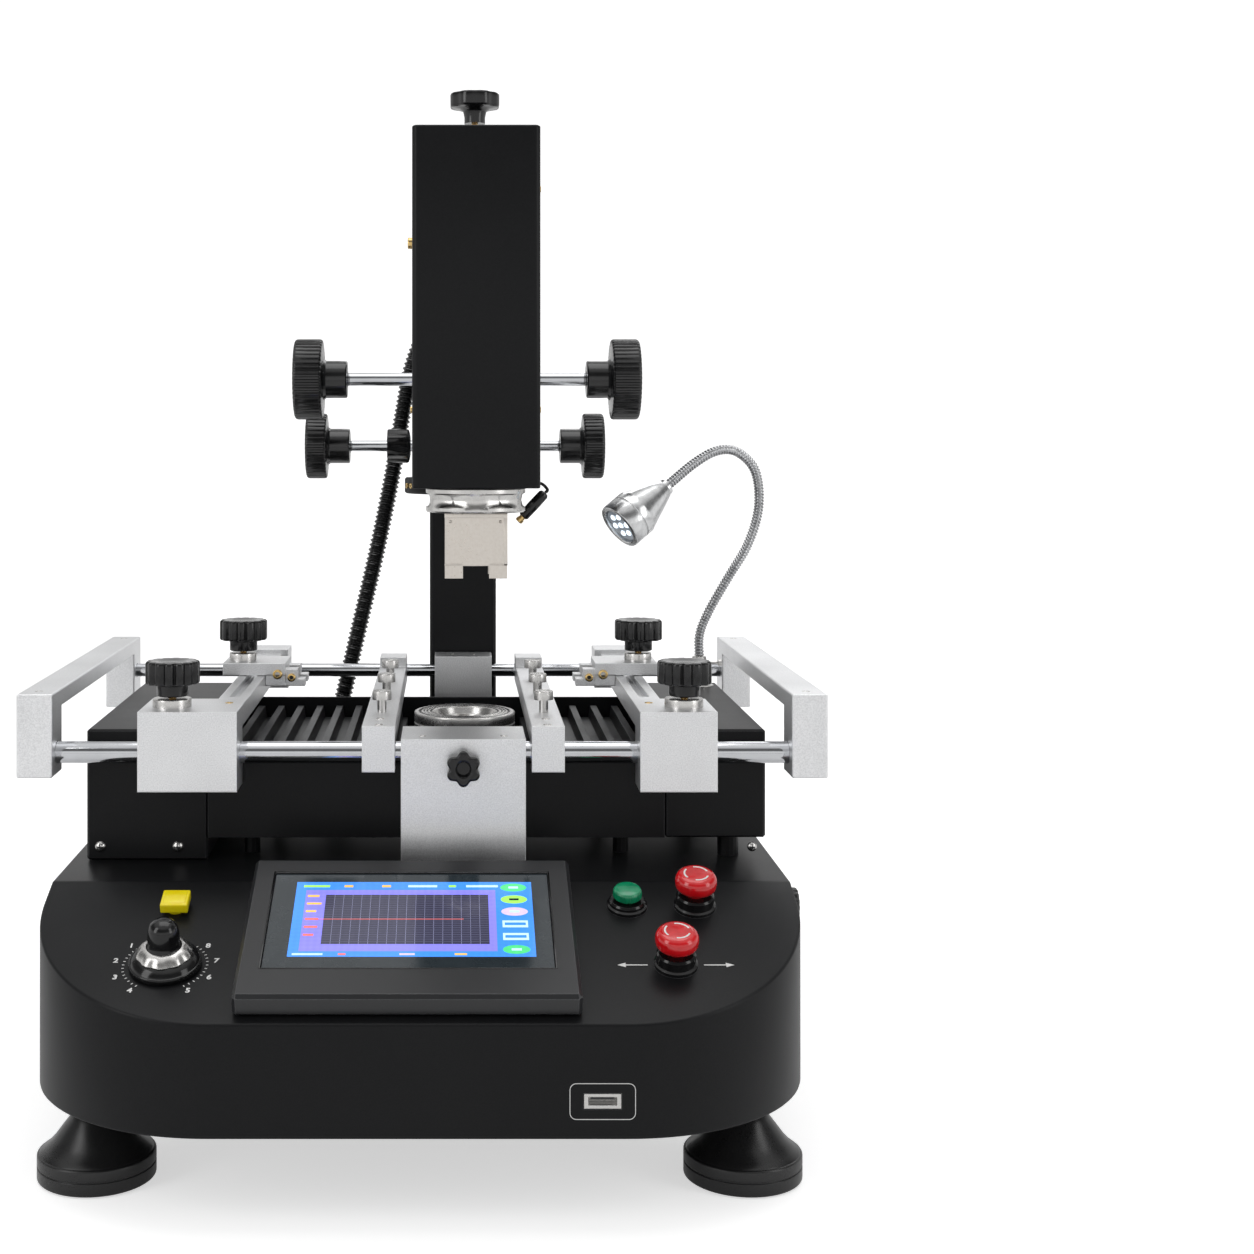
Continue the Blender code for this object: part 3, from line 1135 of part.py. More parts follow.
def make_axes():
    hang("arm_swivel", (COLUMN_X, COLUMN_Y, SADDLE_BOTTOM_Z), "swivel_collar", "arm_saddle")
    hang("arm_slide", (COLUMN_X, COLUMN_Y, BEAM_BOTTOM_Z), "arm_beam", "arm_end_cap")
    hang("head_slide", (HEAD_X, SLIDE_ROD_Y, BOTTOM_PLATE_Z), "head_housing", "slide_frame",
         "head_flange", "hose_elbow")
    hang("nozzle", (HEAD_X, AIR_Y, HEAD_BOTTOM_Z - FLANGE_HEIGHT), "hot_air_nozzle")
    hang("height_wheel", (HEAD_CENTRE_X, HEAD_SHAFT_Y, HEAD_SHAFT_Z), "height_shaft",
         "height_knob_left", "height_knob_right")
    hang("reach_wheel", (ARM_CENTRE_X, ARM_SHAFT_Y, ARM_SHAFT_Z), "reach_shaft",
         "reach_knob_left", "reach_knob_right")
    hang("lamp", (*LAMP_FOOT, TRAY_TOP_Z + LAMP_POST_HEIGHT), "lamp_socket", "lamp_neck",
         "lamp_shade")
    for name, (low_x, high_x, inward) in CARRIAGES.items():
        rail_x = high_x - RAIL_WIDTH / 2 if inward > 0 else low_x + RAIL_WIDTH / 2
        hang("carriage_" + name, (rail_x, FRONT_ROD_Y, FRONT_ROD_Z), "carriage_" + name)
        hang("clamp_" + name, (rail_x, CLAMP_Y, CARRIAGE_TOP_Z), "board_clamp_" + name)
        hang("bar_" + name, (BARS[name], FRONT_ROD_Y, FRONT_ROD_Z), "support_bar_" + name)


make_axes()
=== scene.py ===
# %% [markdown]
# # A bench rework station, dressed in Blender
# The machine blows hot air on one chip of a circuit board while black ribbed plates warm
# the board from below. The measured solids come in first, as a frame that stays put. Each
# cell then either gives a solid a finish, or builds a finer piece round it.

# %% Load the measured frame
import bpy
import bmesh
import math
from mathutils import Matrix, Vector


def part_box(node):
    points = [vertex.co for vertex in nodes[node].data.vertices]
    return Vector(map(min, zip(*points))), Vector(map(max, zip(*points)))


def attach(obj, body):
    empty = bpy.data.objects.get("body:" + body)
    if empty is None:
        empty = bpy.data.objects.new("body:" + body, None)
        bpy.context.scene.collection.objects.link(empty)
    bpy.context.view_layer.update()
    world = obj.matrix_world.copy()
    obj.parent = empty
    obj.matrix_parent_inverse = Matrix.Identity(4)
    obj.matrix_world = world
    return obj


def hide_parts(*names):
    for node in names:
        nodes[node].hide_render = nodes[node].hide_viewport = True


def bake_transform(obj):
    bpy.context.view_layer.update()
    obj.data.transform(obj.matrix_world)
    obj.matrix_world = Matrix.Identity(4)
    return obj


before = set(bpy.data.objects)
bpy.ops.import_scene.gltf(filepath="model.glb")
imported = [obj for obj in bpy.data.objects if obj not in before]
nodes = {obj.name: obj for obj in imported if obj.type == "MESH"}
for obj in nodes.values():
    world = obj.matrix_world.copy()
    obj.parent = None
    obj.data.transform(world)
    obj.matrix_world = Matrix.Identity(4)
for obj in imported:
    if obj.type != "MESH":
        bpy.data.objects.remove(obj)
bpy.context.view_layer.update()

# %% [markdown]
# ## The camera
# The photograph was taken level and from straight in front, at about the height of the lower
# handwheels. A long lens keeps the sides upright. The machine stands left of the middle of the
# picture, so the lens is shifted and the camera isn't turned.

# %% Camera
CAMERA_PLACE = (0.0217, -1.476, 0.501)
LENS = 52.62
SHIFT = (0.1396, -0.1547)
camera = bpy.data.objects.new("camera", bpy.data.cameras.new("camera"))
camera.location = CAMERA_PLACE
camera.rotation_euler = (math.radians(90), 0, 0)
camera.data.lens = LENS
camera.data.shift_x, camera.data.shift_y = SHIFT
camera.data.clip_start = 0.02
bpy.context.scene.collection.objects.link(camera)
bpy.context.scene.camera = camera
print("camera at", CAMERA_PLACE)

# %% [markdown]
# ## Making meshes
# Most fine pieces here are turned on a lathe or moulded, so one helper spins a profile round
# an axis. It can also pull the rim in at even steps, which gives ribs, flutes and lobes
# without a single boolean. A second helper finishes any mesh: it places it, shades it, gives
# it a material and tells the frame which body carries it.

# %% Helpers for pieces
def aim(place, direction):
    """A matrix that stands at a place with its +Z along a direction."""
    turn = Vector((0, 0, 1)).rotation_difference(Vector(direction).normalized())
    return Matrix.Translation(place) @ turn.to_matrix().to_4x4()


def piece(name, bm, look, body, place=None, smooth=True, stands_for=()):
    """A mesh from a bmesh: placed, shaded, given its material, and riding on a body."""
    if place is not None:
        bm.transform(place)
    bmesh.ops.recalc_face_normals(bm, faces=bm.faces)
    mesh = bpy.data.meshes.new(name)
    bm.to_mesh(mesh)
    bm.free()
    looks = look if isinstance(look, (list, tuple)) else [look]
    for one in looks:
        mesh.materials.append(one)
    if smooth:
        mesh.shade_smooth()
        mesh.set_sharp_from_angle(angle=math.radians(38))
    made = bpy.data.objects.new(name, mesh)
    bpy.context.scene.collection.objects.link(made)
    if stands_for:
        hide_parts(*stands_for)
    if body:
        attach(made, body)
    return made


def no_flute(angle):
    return 0.0


def spin(bm, profile, steps=64, flute=no_flute, place=Matrix(), skin=0):
    """Adds a turned form. Profile rows are radius, height and how far the flutes cut in."""
    rings = []
    for row in profile:
        radius, height = row[0], row[1]
        cut = row[2] if len(row) > 2 else 0.0
        if radius < 1e-6:
            rings.append([bm.verts.new(place @ Vector((0, 0, height)))])
            continue
        ring = []
        for step in range(steps):
            angle = math.tau * step / steps
            reach = radius - cut * flute(angle)
            spot = Vector((reach * math.cos(angle), reach * math.sin(angle), height))
            ring.append(bm.verts.new(place @ spot))
        rings.append(ring)
    for above, below in zip(rings, rings[1:]):
        if len(above) == 1 and len(below) == 1:
            continue
        for step in range(steps):
            after = (step + 1) % steps
            if len(above) == 1:
                corners = [above[0], below[step], below[after]]
            elif len(below) == 1:
                corners = [above[step], below[0], above[after]]
            else:
                corners = [above[step], below[step], below[after], above[after]]
            bm.faces.new(corners).material_index = skin
    return bm


def round_corner(radius, height, size, steps=4, top=True):
    """Profile points for a rounded rim between a flat end and an upright side."""
    points = []
    for step in range(steps + 1):
        angle = math.pi / 2 * step / steps
        reach = radius - size + size * math.sin(angle)
        level = height - size + size * math.cos(angle)
        if not top:
            reach = radius - size + size * math.cos(angle)
            level = height + size - size * math.sin(angle)
        points.append((reach, level))
    return points


def block(bm, low, high, edge=0.0008, steps=2, place=Matrix(), skin=0):
    """Adds a box with rounded edges between two corners."""
    size = Vector(high) - Vector(low)
    middle = (Vector(high) + Vector(low)) / 2
    shape = place @ Matrix.Translation(middle) @ Matrix.Diagonal((*size, 1.0))
    made = bmesh.ops.create_cube(bm, size=1.0, matrix=shape)["verts"]
    faces = {face for vert in made for face in vert.link_faces}
    for face in faces:
        face.material_index = skin
    if edge:
        edges = {side for face in faces for side in face.edges}
        bevelled = bmesh.ops.bevel(
            bm, geom=list(edges), offset=edge, segments=steps, profile=0.5,
            affect="EDGES", clamp_overlap=True)
        for face in bevelled["faces"]:
            face.material_index = skin
    return bm


print("helpers ready")

# %% [markdown]
# ## Shared surface effects
# Powder coat, blasted metal and moulded plastic differ in colour, but they share the same
# small faults: a grain that changes the gloss from spot to spot, edges that are a little
# rounded and rubbed, and tool marks that run one way. The rounded edges also carry a painted
# highlight: a brighter tone along each corner. Each effect is one node group with named
# inputs, so every material can use it with its own numbers.

# %% Node group helper
def new_group(name, inputs, outputs):
    """An empty shader group with float inputs and the given outputs."""
    made = bpy.data.node_groups.new(name, "ShaderNodeTree")
    for label, value in inputs:
        socket = made.interface.new_socket(
            name=label, in_out="INPUT", socket_type="NodeSocketFloat")
        socket.default_value = value
    for label, kind in outputs:
        made.interface.new_socket(
            name=label, in_out="OUTPUT", socket_type="NodeSocket" + kind)
    start = made.nodes.new("NodeGroupInput")
    end = made.nodes.new("NodeGroupOutput")
    return made, start, end


def maths(tree, kind, first, second, clamp=False):
    """A Math node. Each input is a number or another node's output."""
    node = tree.nodes.new("ShaderNodeMath")
    node.operation = kind
    node.use_clamp = clamp
    for socket, value in zip(node.inputs, (first, second)):
        if isinstance(value, (int, float)):
            socket.default_value = value
        else:
            tree.links.new(value, socket)
    return node.outputs[0]


def noise(tree, vector, scale, detail=2.0):
    node = tree.nodes.new("ShaderNodeTexNoise")
    tree.links.new(vector, node.inputs["Vector"])
    node.inputs["Detail"].default_value = detail
    if isinstance(scale, (int, float)):
        node.inputs["Scale"].default_value = scale
    else:
        tree.links.new(scale, node.inputs["Scale"])
    return node.outputs[0]


# %% Grain: uneven gloss, soft clouds of tone and a fine height
grain, start, end = new_group(
    "fine_grain", [("Scale", 700.0), ("Level", 0.4), ("Spread", 0.05)],
    [("Roughness", "Float"), ("Cloud", "Float"), ("Height", "Float")])
spot = grain.nodes.new("ShaderNodeTexCoord").outputs["Object"]
fine = noise(grain, spot, start.outputs["Scale"], 3.0)
soft = noise(grain, spot, 14.0, 4.0)
both = maths(grain, "ADD", maths(grain, "MULTIPLY", fine, 0.6), maths(grain, "MULTIPLY", soft, 0.9))
swing = maths(grain, "MULTIPLY", maths(grain, "SUBTRACT", both, 0.75), start.outputs["Spread"])
level = maths(grain, "ADD", start.outputs["Level"], maths(grain, "MULTIPLY", swing, 4.0), True)
grain.links.new(level, end.inputs["Roughness"])
mottle = maths(grain, "ADD", maths(grain, "MULTIPLY", fine, 1.3),
               maths(grain, "MULTIPLY", soft, 0.7))
cloud = maths(grain, "MULTIPLY", maths(grain, "SUBTRACT", mottle, 0.72), 1.9, True)
grain.links.new(cloud, end.inputs["Cloud"])
grain.links.new(fine, end.inputs["Height"])

# %% Edge wear and highlight: a softened corner and a mask of where the corners are, for rubbed wear and a painted highlight
edge_wear_and_highlight, start, end = new_group(
    "edge_wear_and_highlight_group", [("Radius", 0.0008), ("Gain", 4.0)], [("Edge", "Float"), ("Normal", "Vector")])
bevel = edge_wear_and_highlight.nodes.new("ShaderNodeBevel")
bevel.samples = 4
edge_wear_and_highlight.links.new(start.outputs["Radius"], bevel.inputs["Radius"])
flat = edge_wear_and_highlight.nodes.new("ShaderNodeNewGeometry").outputs["Normal"]
dot = edge_wear_and_highlight.nodes.new("ShaderNodeVectorMath")
dot.operation = "DOT_PRODUCT"
edge_wear_and_highlight.links.new(bevel.outputs["Normal"], dot.inputs[0])
edge_wear_and_highlight.links.new(flat, dot.inputs[1])
corner = maths(edge_wear_and_highlight, "SUBTRACT", 1.0, dot.outputs["Value"])
place = edge_wear_and_highlight.nodes.new("ShaderNodeTexCoord").outputs["Object"]
patchy = maths(edge_wear_and_highlight, "ADD", noise(edge_wear_and_highlight, place, 90.0, 3.0), 0.25)
mask = maths(edge_wear_and_highlight, "MULTIPLY", maths(edge_wear_and_highlight, "MULTIPLY", corner, start.outputs["Gain"]), patchy, True)
edge_wear_and_highlight.links.new(mask, end.inputs["Edge"])
edge_wear_and_highlight.links.new(bevel.outputs["Normal"], end.inputs["Normal"])

# %% Tool marks: fine lines that run along one axis
marks, start, end = new_group(
    "tool_marks", [("Across X", 1.0), ("Across Y", 1.0), ("Across Z", 1.0)], [("Lines", "Float")])
stretch = marks.nodes.new("ShaderNodeVectorMath")
stretch.operation = "MULTIPLY"
sizes = marks.nodes.new("ShaderNodeCombineXYZ")
for socket, label in zip(sizes.inputs, ("Across X", "Across Y", "Across Z")):
    marks.links.new(start.outputs[label], socket)
marks.links.new(marks.nodes.new("ShaderNodeTexCoord").outputs["Object"], stretch.inputs[0])
marks.links.new(sizes.outputs[0], stretch.inputs[1])
marks.links.new(noise(marks, stretch.outputs[0], 1.0, 4.0), end.inputs["Lines"])
print("groups:", [one.name for one in bpy.data.node_groups])

# %% [markdown]
# ## Finishes
# One function mixes the effects into a Principled material: two close tones of the same
# colour, a brighter tone on the edges that is partly rubbed wear and partly a painted
# highlight, uneven gloss and a very low bump. The numbers that don't vary over the surface,
# such as metallic and coat, go straight onto the shader.

# %% Finish builder
def call_group(tree, group, **values):
    node = tree.nodes.new("ShaderNodeGroup")
    node.node_tree = group
    for label, value in values.items():
        node.inputs[label.replace("_", " ")].default_value = value
    return node


def mix(tree, factor, first, second):
    node = tree.nodes.new("ShaderNodeMix")
    node.data_type = "RGBA"
    if isinstance(factor, (int, float)):
        node.inputs["Factor"].default_value = factor
    else:
        tree.links.new(factor, node.inputs["Factor"])
    for socket, value in ((node.inputs[6], first), (node.inputs[7], second)):
        if isinstance(value, tuple):
            socket.default_value = (*value, 1.0)
        else:
            tree.links.new(value, socket)
    return node.outputs[2]


def finish(name, tone, other, metallic, gloss, spread=0.04, scale=700.0, bump=0.00002,
           edge=None, radius=0.0008, coat=0.0, lines=None, shine=0.5):
    """A Principled material with grain, rubbed edges with a painted highlight, and optional tool
    marks.
    """
    made = bpy.data.materials.new(name)
    made.use_nodes = True
    tree = made.node_tree
    shader = tree.nodes["Principled BSDF"]
    shader.inputs["Metallic"].default_value = metallic
    shader.inputs["Coat Weight"].default_value = coat
    shader.inputs["Specular IOR Level"].default_value = shine
    shader.inputs["Coat Roughness"].default_value = 0.08
    surface = call_group(tree, grain, Scale=scale, Level=gloss, Spread=spread)
    corners = call_group(tree, edge_wear_and_highlight, Radius=radius)
    height = surface.outputs["Height"]
    colour = mix(tree, surface.outputs["Cloud"], tone, other)
    if lines:
        tooling = call_group(tree, marks, Across_X=lines[0], Across_Y=lines[1], Across_Z=lines[2])
        height = maths(tree, "ADD", height, tooling.outputs["Lines"])
        colour = mix(tree, tooling.outputs["Lines"], colour, other)
    # The edge colour is partly rubbed wear and partly a painted highlight along the corners.
    if edge:
        colour = mix(tree, corners.outputs["Edge"], colour, edge)
    tree.links.new(colour, shader.inputs["Base Color"])
    tree.links.new(surface.outputs["Roughness"], shader.inputs["Roughness"])
    relief = tree.nodes.new("ShaderNodeBump")
    relief.inputs["Distance"].default_value = bump
    relief.inputs["Strength"].default_value = 0.6
    tree.links.new(height, relief.inputs["Height"])
    tree.links.new(corners.outputs["Normal"], relief.inputs["Normal"])
    tree.links.new(relief.outputs["Normal"], shader.inputs["Normal"])
    return made


# %% Painted, metal, plastic and rubber finishes
# Each edge colour below is partly rubbed wear and partly a painted highlight on the corners.
powder_black = finish("powder_black", (0.0060, 0.0062, 0.0070), (0.0085, 0.0088, 0.0096), 0.0, 0.36,
                      0.03, 900.0, 0.00003, edge=(0.085, 0.086, 0.092), radius=0.0012, shine=0.17)
arm_grey = finish("arm_grey", (0.125, 0.132, 0.142), (0.15, 0.157, 0.168), 0.35, 0.36,
                  0.03, 900.0, 0.00002, edge=(0.36, 0.37, 0.39), radius=0.0009)
blasted = finish("blasted_aluminium", (0.70, 0.705, 0.715), (0.90, 0.905, 0.915), 1.0, 0.40,
                 0.05, 1100.0, 0.00004, edge=(0.98, 0.98, 0.99), radius=0.0013)
satin = finish("satin_aluminium", (0.60, 0.605, 0.61), (0.72, 0.725, 0.73), 1.0, 0.25,
               0.02, 240.0, 0.000004, edge=(0.92, 0.92, 0.93), radius=0.0006)
spiral = finish("spiral_steel", (0.38, 0.385, 0.395), (0.55, 0.555, 0.565), 1.0, 0.18,
                0.04, 240.0, 0.000004, edge=(0.85, 0.85, 0.86), radius=0.0004)
chrome = finish("polished_rod", (0.50, 0.51, 0.53), (0.60, 0.61, 0.63), 1.0, 0.09,
                0.02, 60.0, 0.000002, lines=(12.0, 900.0, 900.0))
turned_steel = finish("turned_steel", (0.56, 0.55, 0.535), (0.62, 0.61, 0.595), 1.0, 0.25,
                      0.05, 300.0, 0.000008, edge=(0.9, 0.89, 0.87), lines=(60.0, 60.0, 2600.0))
nickel = finish("nozzle_nickel", (0.62, 0.565, 0.505), (0.72, 0.675, 0.62), 1.0, 0.30,
                0.05, 420.0, 0.00001, edge=(0.88, 0.85, 0.80), radius=0.0006,
                lines=(900.0, 900.0, 30.0))
brass = finish("brass", (0.66, 0.45, 0.17), (0.78, 0.56, 0.25), 1.0, 0.22,
               0.05, 260.0, 0.000006, edge=(0.95, 0.78, 0.45), radius=0.0003)
gloss_black = finish("gloss_black_plastic", (0.006, 0.006, 0.0065), (0.009, 0.009, 0.0095), 0.0,
                     0.16, 0.03, 160.0, 0.000006, coat=0.2, radius=0.0004, shine=0.35)
knob_black = finish("knob_black_plastic", (0.008, 0.008, 0.0085), (0.013, 0.013, 0.0135), 0.0,
                    0.20, 0.03, 300.0, 0.000006, coat=0.15, radius=0.0006)
hose_black = finish("conduit_black", (0.007, 0.007, 0.0075), (0.012, 0.012, 0.012), 0.0, 0.24,
                    0.05, 420.0, 0.00001, coat=0.2, radius=0.0003, shine=0.4)
foot_rubber = finish("foot_rubber", (0.010, 0.010, 0.0105), (0.016, 0.016, 0.0165), 0.0, 0.30,
                     0.05, 900.0, 0.00003, edge=(0.045, 0.045, 0.046))
heat_black = finish("heater_black", (0.016, 0.0165, 0.018), (0.034, 0.035, 0.038), 0.25, 0.40,
                    0.06, 500.0, 0.00002, edge=(0.11, 0.112, 0.118), radius=0.0006,
                    lines=(900.0, 25.0, 900.0))
red_gloss = finish("red_gloss", (0.62, 0.004, 0.008), (0.75, 0.008, 0.014), 0.0, 0.16, 0.03,
                   200.0, 0.000006, coat=0.5, radius=0.0004)
green_gloss = finish("green_gloss", (0.002, 0.20, 0.085), (0.004, 0.30, 0.13), 0.0, 0.2, 0.03,
                     200.0, 0.000006, coat=0.4, radius=0.0004)
yellow_gloss = finish("yellow_gloss", (0.98, 0.76, 0.002), (1.0, 0.86, 0.006), 0.0, 0.24, 0.03,
                      200.0, 0.000006, coat=0.3, radius=0.0004)
white_print = finish("white_print", (0.80, 0.80, 0.79), (0.88, 0.88, 0.87), 0.0, 0.45, 0.04,
                     900.0, 0.00001, radius=0.0001)
grey_frame = finish("screen_frame", (0.0175, 0.018, 0.0195), (0.0215, 0.022, 0.024), 0.0, 0.30,
                    0.008, 1500.0, 0.000006, edge=(0.22, 0.225, 0.235), radius=0.0009)
print("finishes:", len(bpy.data.materials))

# %% [markdown]
# ## Dressing the solids that are already right
# Blocks, rods, housings and plates have their true shape in the frame, so they keep it and
# only change finish. The edge group rounds their corners in the shading and brightens them
# with rubbed wear and a painted highlight, which a crisp measured solid needs before it looks
# like blasted or painted metal.

# %% Finishes for the carried-over solids
def dress(look, *names):
    for name in names:
        node = nodes[name]
        node.data.materials.clear()
        node.data.materials.append(look)


dress(powder_black, "base_housing", "side_housing_left", "side_housing_right", "column",
      "swivel_collar", "slide_frame", "heater_tray")
dress(blasted, "end_handle_left", "end_handle_right", "centre_block", "rear_block",
      "carriage_left", "carriage_right", "board_clamp_left", "board_clamp_right",
      "support_bar_left", "support_bar_right", "arm_end_cap")
dress(chrome, "front_rod", "rear_rod", "height_shaft", "reach_shaft")
dress(turned_steel, "lower_nozzle", "usb_port", "lamp_socket")
dress(nickel, "hot_air_nozzle")
dress(arm_grey, "arm_beam", "arm_saddle")
dress(heat_black, "heater_left", "heater_right", "heater_front", "heater_back")
dress(grey_frame, "screen_bezel")
dress(gloss_black, "hose_elbow")
print("dressed the plain solids")

# %% [markdown]
# ## Studio
# The floor runs back and curves up into a backdrop, so no horizon crosses the picture. Both
# are near white in themselves. A little light that only the camera and the mirrors see lifts
# them to the white of a product photograph, while the floor still shows the soft shadow.

# %% Floor and backdrop
FLOOR_WHITE = 0.86
PAPER_LIFT, MIRROR_SHARE = 0.58, 0.3
CYC_RADIUS = 1.4
CYC_START = 1.6


def studio_look():
    made = bpy.data.materials.new("studio_paper")
    made.use_nodes = True
    tree = made.node_tree
    shader = tree.nodes["Principled BSDF"]
    shader.inputs["Base Color"].default_value = (FLOOR_WHITE, FLOOR_WHITE, FLOOR_WHITE, 1)
    shader.inputs["Roughness"].default_value = 0.75
    shader.inputs["Emission Color"].default_value = (1, 1, 1, 1)
    seen = tree.nodes.new("ShaderNodeLightPath")
    eye = maths(tree, "ADD", seen.outputs["Is Camera Ray"],
                maths(tree, "MULTIPLY", seen.outputs["Is Glossy Ray"], MIRROR_SHARE))
    tree.links.new(maths(tree, "MULTIPLY", eye, PAPER_LIFT), shader.inputs["Emission Strength"])
    return made


sweep = bmesh.new()
line = [(-4.0, 0.0), (CYC_START, 0.0)]
for step in range(1, 13):
    angle = math.pi / 2 * step / 12
    line.append((CYC_START + CYC_RADIUS * math.sin(angle), CYC_RADIUS * (1 - math.cos(angle))))
line.append((CYC_START + CYC_RADIUS, 5.0))
rows = [[sweep.verts.new((x, y, z - 0.0004)) for x in (-5.0, 5.0)] for y, z in line]
for near, far in zip(rows, rows[1:]):
    sweep.faces.new((near[0], near[1], far[1], far[0]))
paper = bpy.data.meshes.new("studio_sweep")
sweep.to_mesh(paper)
sweep.free()
paper.shade_smooth()
paper.materials.append(studio_look())
studio = bpy.data.objects.new("studio_sweep", paper)
bpy.context.scene.collection.objects.link(studio)
print("studio sweep:", len(paper.polygons), "faces")

# %% [markdown]
# ## Light
# Two big soft boxes stand left and right of the machine and one hangs over it. Black plastic
# only shows its form through what it mirrors, so the boxes are tall, and they leave a bright
# line down each rounded edge. The lamps are set so that colours render about as written.
# The world is white to the camera. Mirrors see it with a dim band above the horizon, like the
# black cards that a photographer hangs by polished metal, and rods get their dark lines.

# %% Lights and world
def soft_box(name, place, target, size, power):
    lamp = bpy.data.lights.new(name, "AREA")
    lamp.shape = "RECTANGLE"
    lamp.size, lamp.size_y = size
    lamp.energy = power
    made = bpy.data.objects.new(name, lamp)
    made.location = place
    made.rotation_euler = (Vector(target) - Vector(place)).to_track_quat("-Z", "Y").to_euler()
    bpy.context.scene.collection.objects.link(made)
    return made


soft_box("light_left", (-1.9, -1.5, 1.5), (0.0, 0.0, 0.3), (0.9, 1.8), 15.0)
soft_box("light_right", (2.0, -1.2, 1.2), (0.0, 0.0, 0.35), (0.8, 1.7), 10.0)
soft_box("light_top", (0.0, 0.1, 2.4), (0.0, 0.05, 0.2), (1.8, 1.4), 12.0)
soft_box("light_back", (0.6, 2.0, 1.8), (0.0, 0.1, 0.4), (1.6, 0.7), 7.0)

AMBIENT = 0.45
world = bpy.data.worlds.new("studio_world")
bpy.context.scene.world = world
world.use_nodes = True
sky = world.node_tree
back = sky.nodes["Background"]
back.inputs["Color"].default_value = (1.0, 1.0, 1.0, 1)
path = sky.nodes.new("ShaderNodeLightPath")
spread = sky.nodes.new("ShaderNodeSeparateXYZ")
sky.links.new(sky.nodes.new("ShaderNodeTexCoord").outputs["Generated"], spread.inputs[0])
bands = sky.nodes.new("ShaderNodeValToRGB")
sky.links.new(spread.outputs["Z"], bands.inputs["Fac"])
for number, (height, level) in enumerate(((0.0, 0.95), (0.24, 0.90), (0.34, 0.16), (0.62, 0.14),
                                          (0.78, 0.75), (1.0, 1.0))):
    stop = bands.color_ramp.elements[0] if number == 0 else bands.color_ramp.elements.new(height)
    stop.position, stop.color = height, (level, level, level, 1)
bands.color_ramp.elements.remove(bands.color_ramp.elements[-1])
shine = maths(sky, "MULTIPLY", path.outputs["Is Glossy Ray"],
              maths(sky, "SUBTRACT", bands.outputs["Color"], AMBIENT))
plain = maths(sky, "MULTIPLY", path.outputs["Is Camera Ray"], 1.0 - AMBIENT)
sky.links.new(maths(sky, "ADD", maths(sky, "ADD", plain, shine), AMBIENT),
              back.inputs["Strength"])
bpy.context.scene.view_settings.view_transform = "Standard"
print("four soft boxes and a pale world")

# %% [markdown]
# ## Levelling feet
# Each foot is a cone on a flat disc. The real ones are moulded rubber on a steel stud, with a
# soft rim and one fine parting groove. A lathe profile with rounded corners gives the long
# highlight that runs round the cone.

# %% Feet
FOOT_TOP = 0.0587


def foot_profile():
    rows = [(0.0, FOOT_TOP), (0.0105, FOOT_TOP), (0.0112, FOOT_TOP - 0.001), (0.0112, 0.0475),
            (0.0135, 0.0462), (0.0160, 0.0440), (0.0182, 0.0405), (0.0225, 0.0350),
            (0.0285, 0.0270), (0.0345, 0.0208), (0.0372, 0.0192)]
    rows += round_corner(0.0398, 0.0180, 0.0016)
    rows += [(0.0398, 0.0108), (0.0390, 0.0104), (0.0390, 0.0096), (0.0398, 0.0092)]
    rows += round_corner(0.0398, 0.0006, 0.0016, top=False)
    rows += [(0.0370, 0.0), (0.0, 0.0)]
    return rows


for foot in ("foot_front_left", "foot_front_right", "foot_back_left", "foot_back_right"):
    low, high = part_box(foot)
    form = spin(bmesh.new(), foot_profile(), 72)
    stand = Matrix.Translation(((low[0] + high[0]) / 2, (low[1] + high[1]) / 2, 0))
    piece("soft_" + foot, form, foot_rubber, "base", stand, stands_for=(foot,))
print("four feet")

# %% [markdown]
# ## Moulded knobs
# The clamp knobs, the handwheels and the lock knobs are all black mouldings that a hand has
# to grip. They differ in the rim: narrow flutes, wide lobes or fine ribs. The lathe helper
# pulls its rim in by a wave, and raising the wave to a power makes the grooves narrow. Each
# stands in for the plain prism of the frame at the same place and size.

# %% Rim patterns
def flutes(count, power=3.0):
    """Narrow grooves between round lobes."""
    return lambda angle: (0.5 + 0.5 * math.cos(count * angle)) ** power


def ribs(count):
    """Square-sided ribs with even gaps."""
    return lambda angle: 1.0 / (1.0 + math.exp(-9.0 * math.cos(count * angle)))


# %% Star knobs on the clamp slides
STAR_RADIUS = 0.0200
STAR_HEIGHT = 0.0170
STAR_FLUTES = 14


def star_rows(low):
    top = low + STAR_HEIGHT
    deep = 0.0024
    rows = [(0.0, top - 0.0008), (0.0085, top - 0.0008), (0.0110, top - 0.0002)]
    rows += [(0.0150, top, deep * 0.1)]
    rows += [(r, z, deep * 0.9) for r, z in round_corner(STAR_RADIUS, top, 0.0022)]
    rows += [(STAR_RADIUS, low + 0.0030, deep)]
    rows += [(r, z, deep) for r, z in round_corner(STAR_RADIUS, low, 0.0016, top=False)]
    rows += [(0.0135, low, 0.0), (0.0116, low - 0.0012)]
    rows += round_corner(0.0116, low - 0.0090, 0.0010, top=False)
    rows += [(0.0, low - 0.0090)]
    return rows


def stud_rows(bottom, top, radius=0.0029):
    """A threaded stud: the thread is a run of small rings."""
    rows = [(0.0, top)]
    turns = max(3, int((top - bottom) / 0.0008))
    for turn in range(turns):
        z = top - (top - bottom) * turn / turns
        rows += [(radius, z), (radius - 0.0004, z - 0.0004)]
    rows += [(radius, bottom), (0.0, bottom)]
    return rows


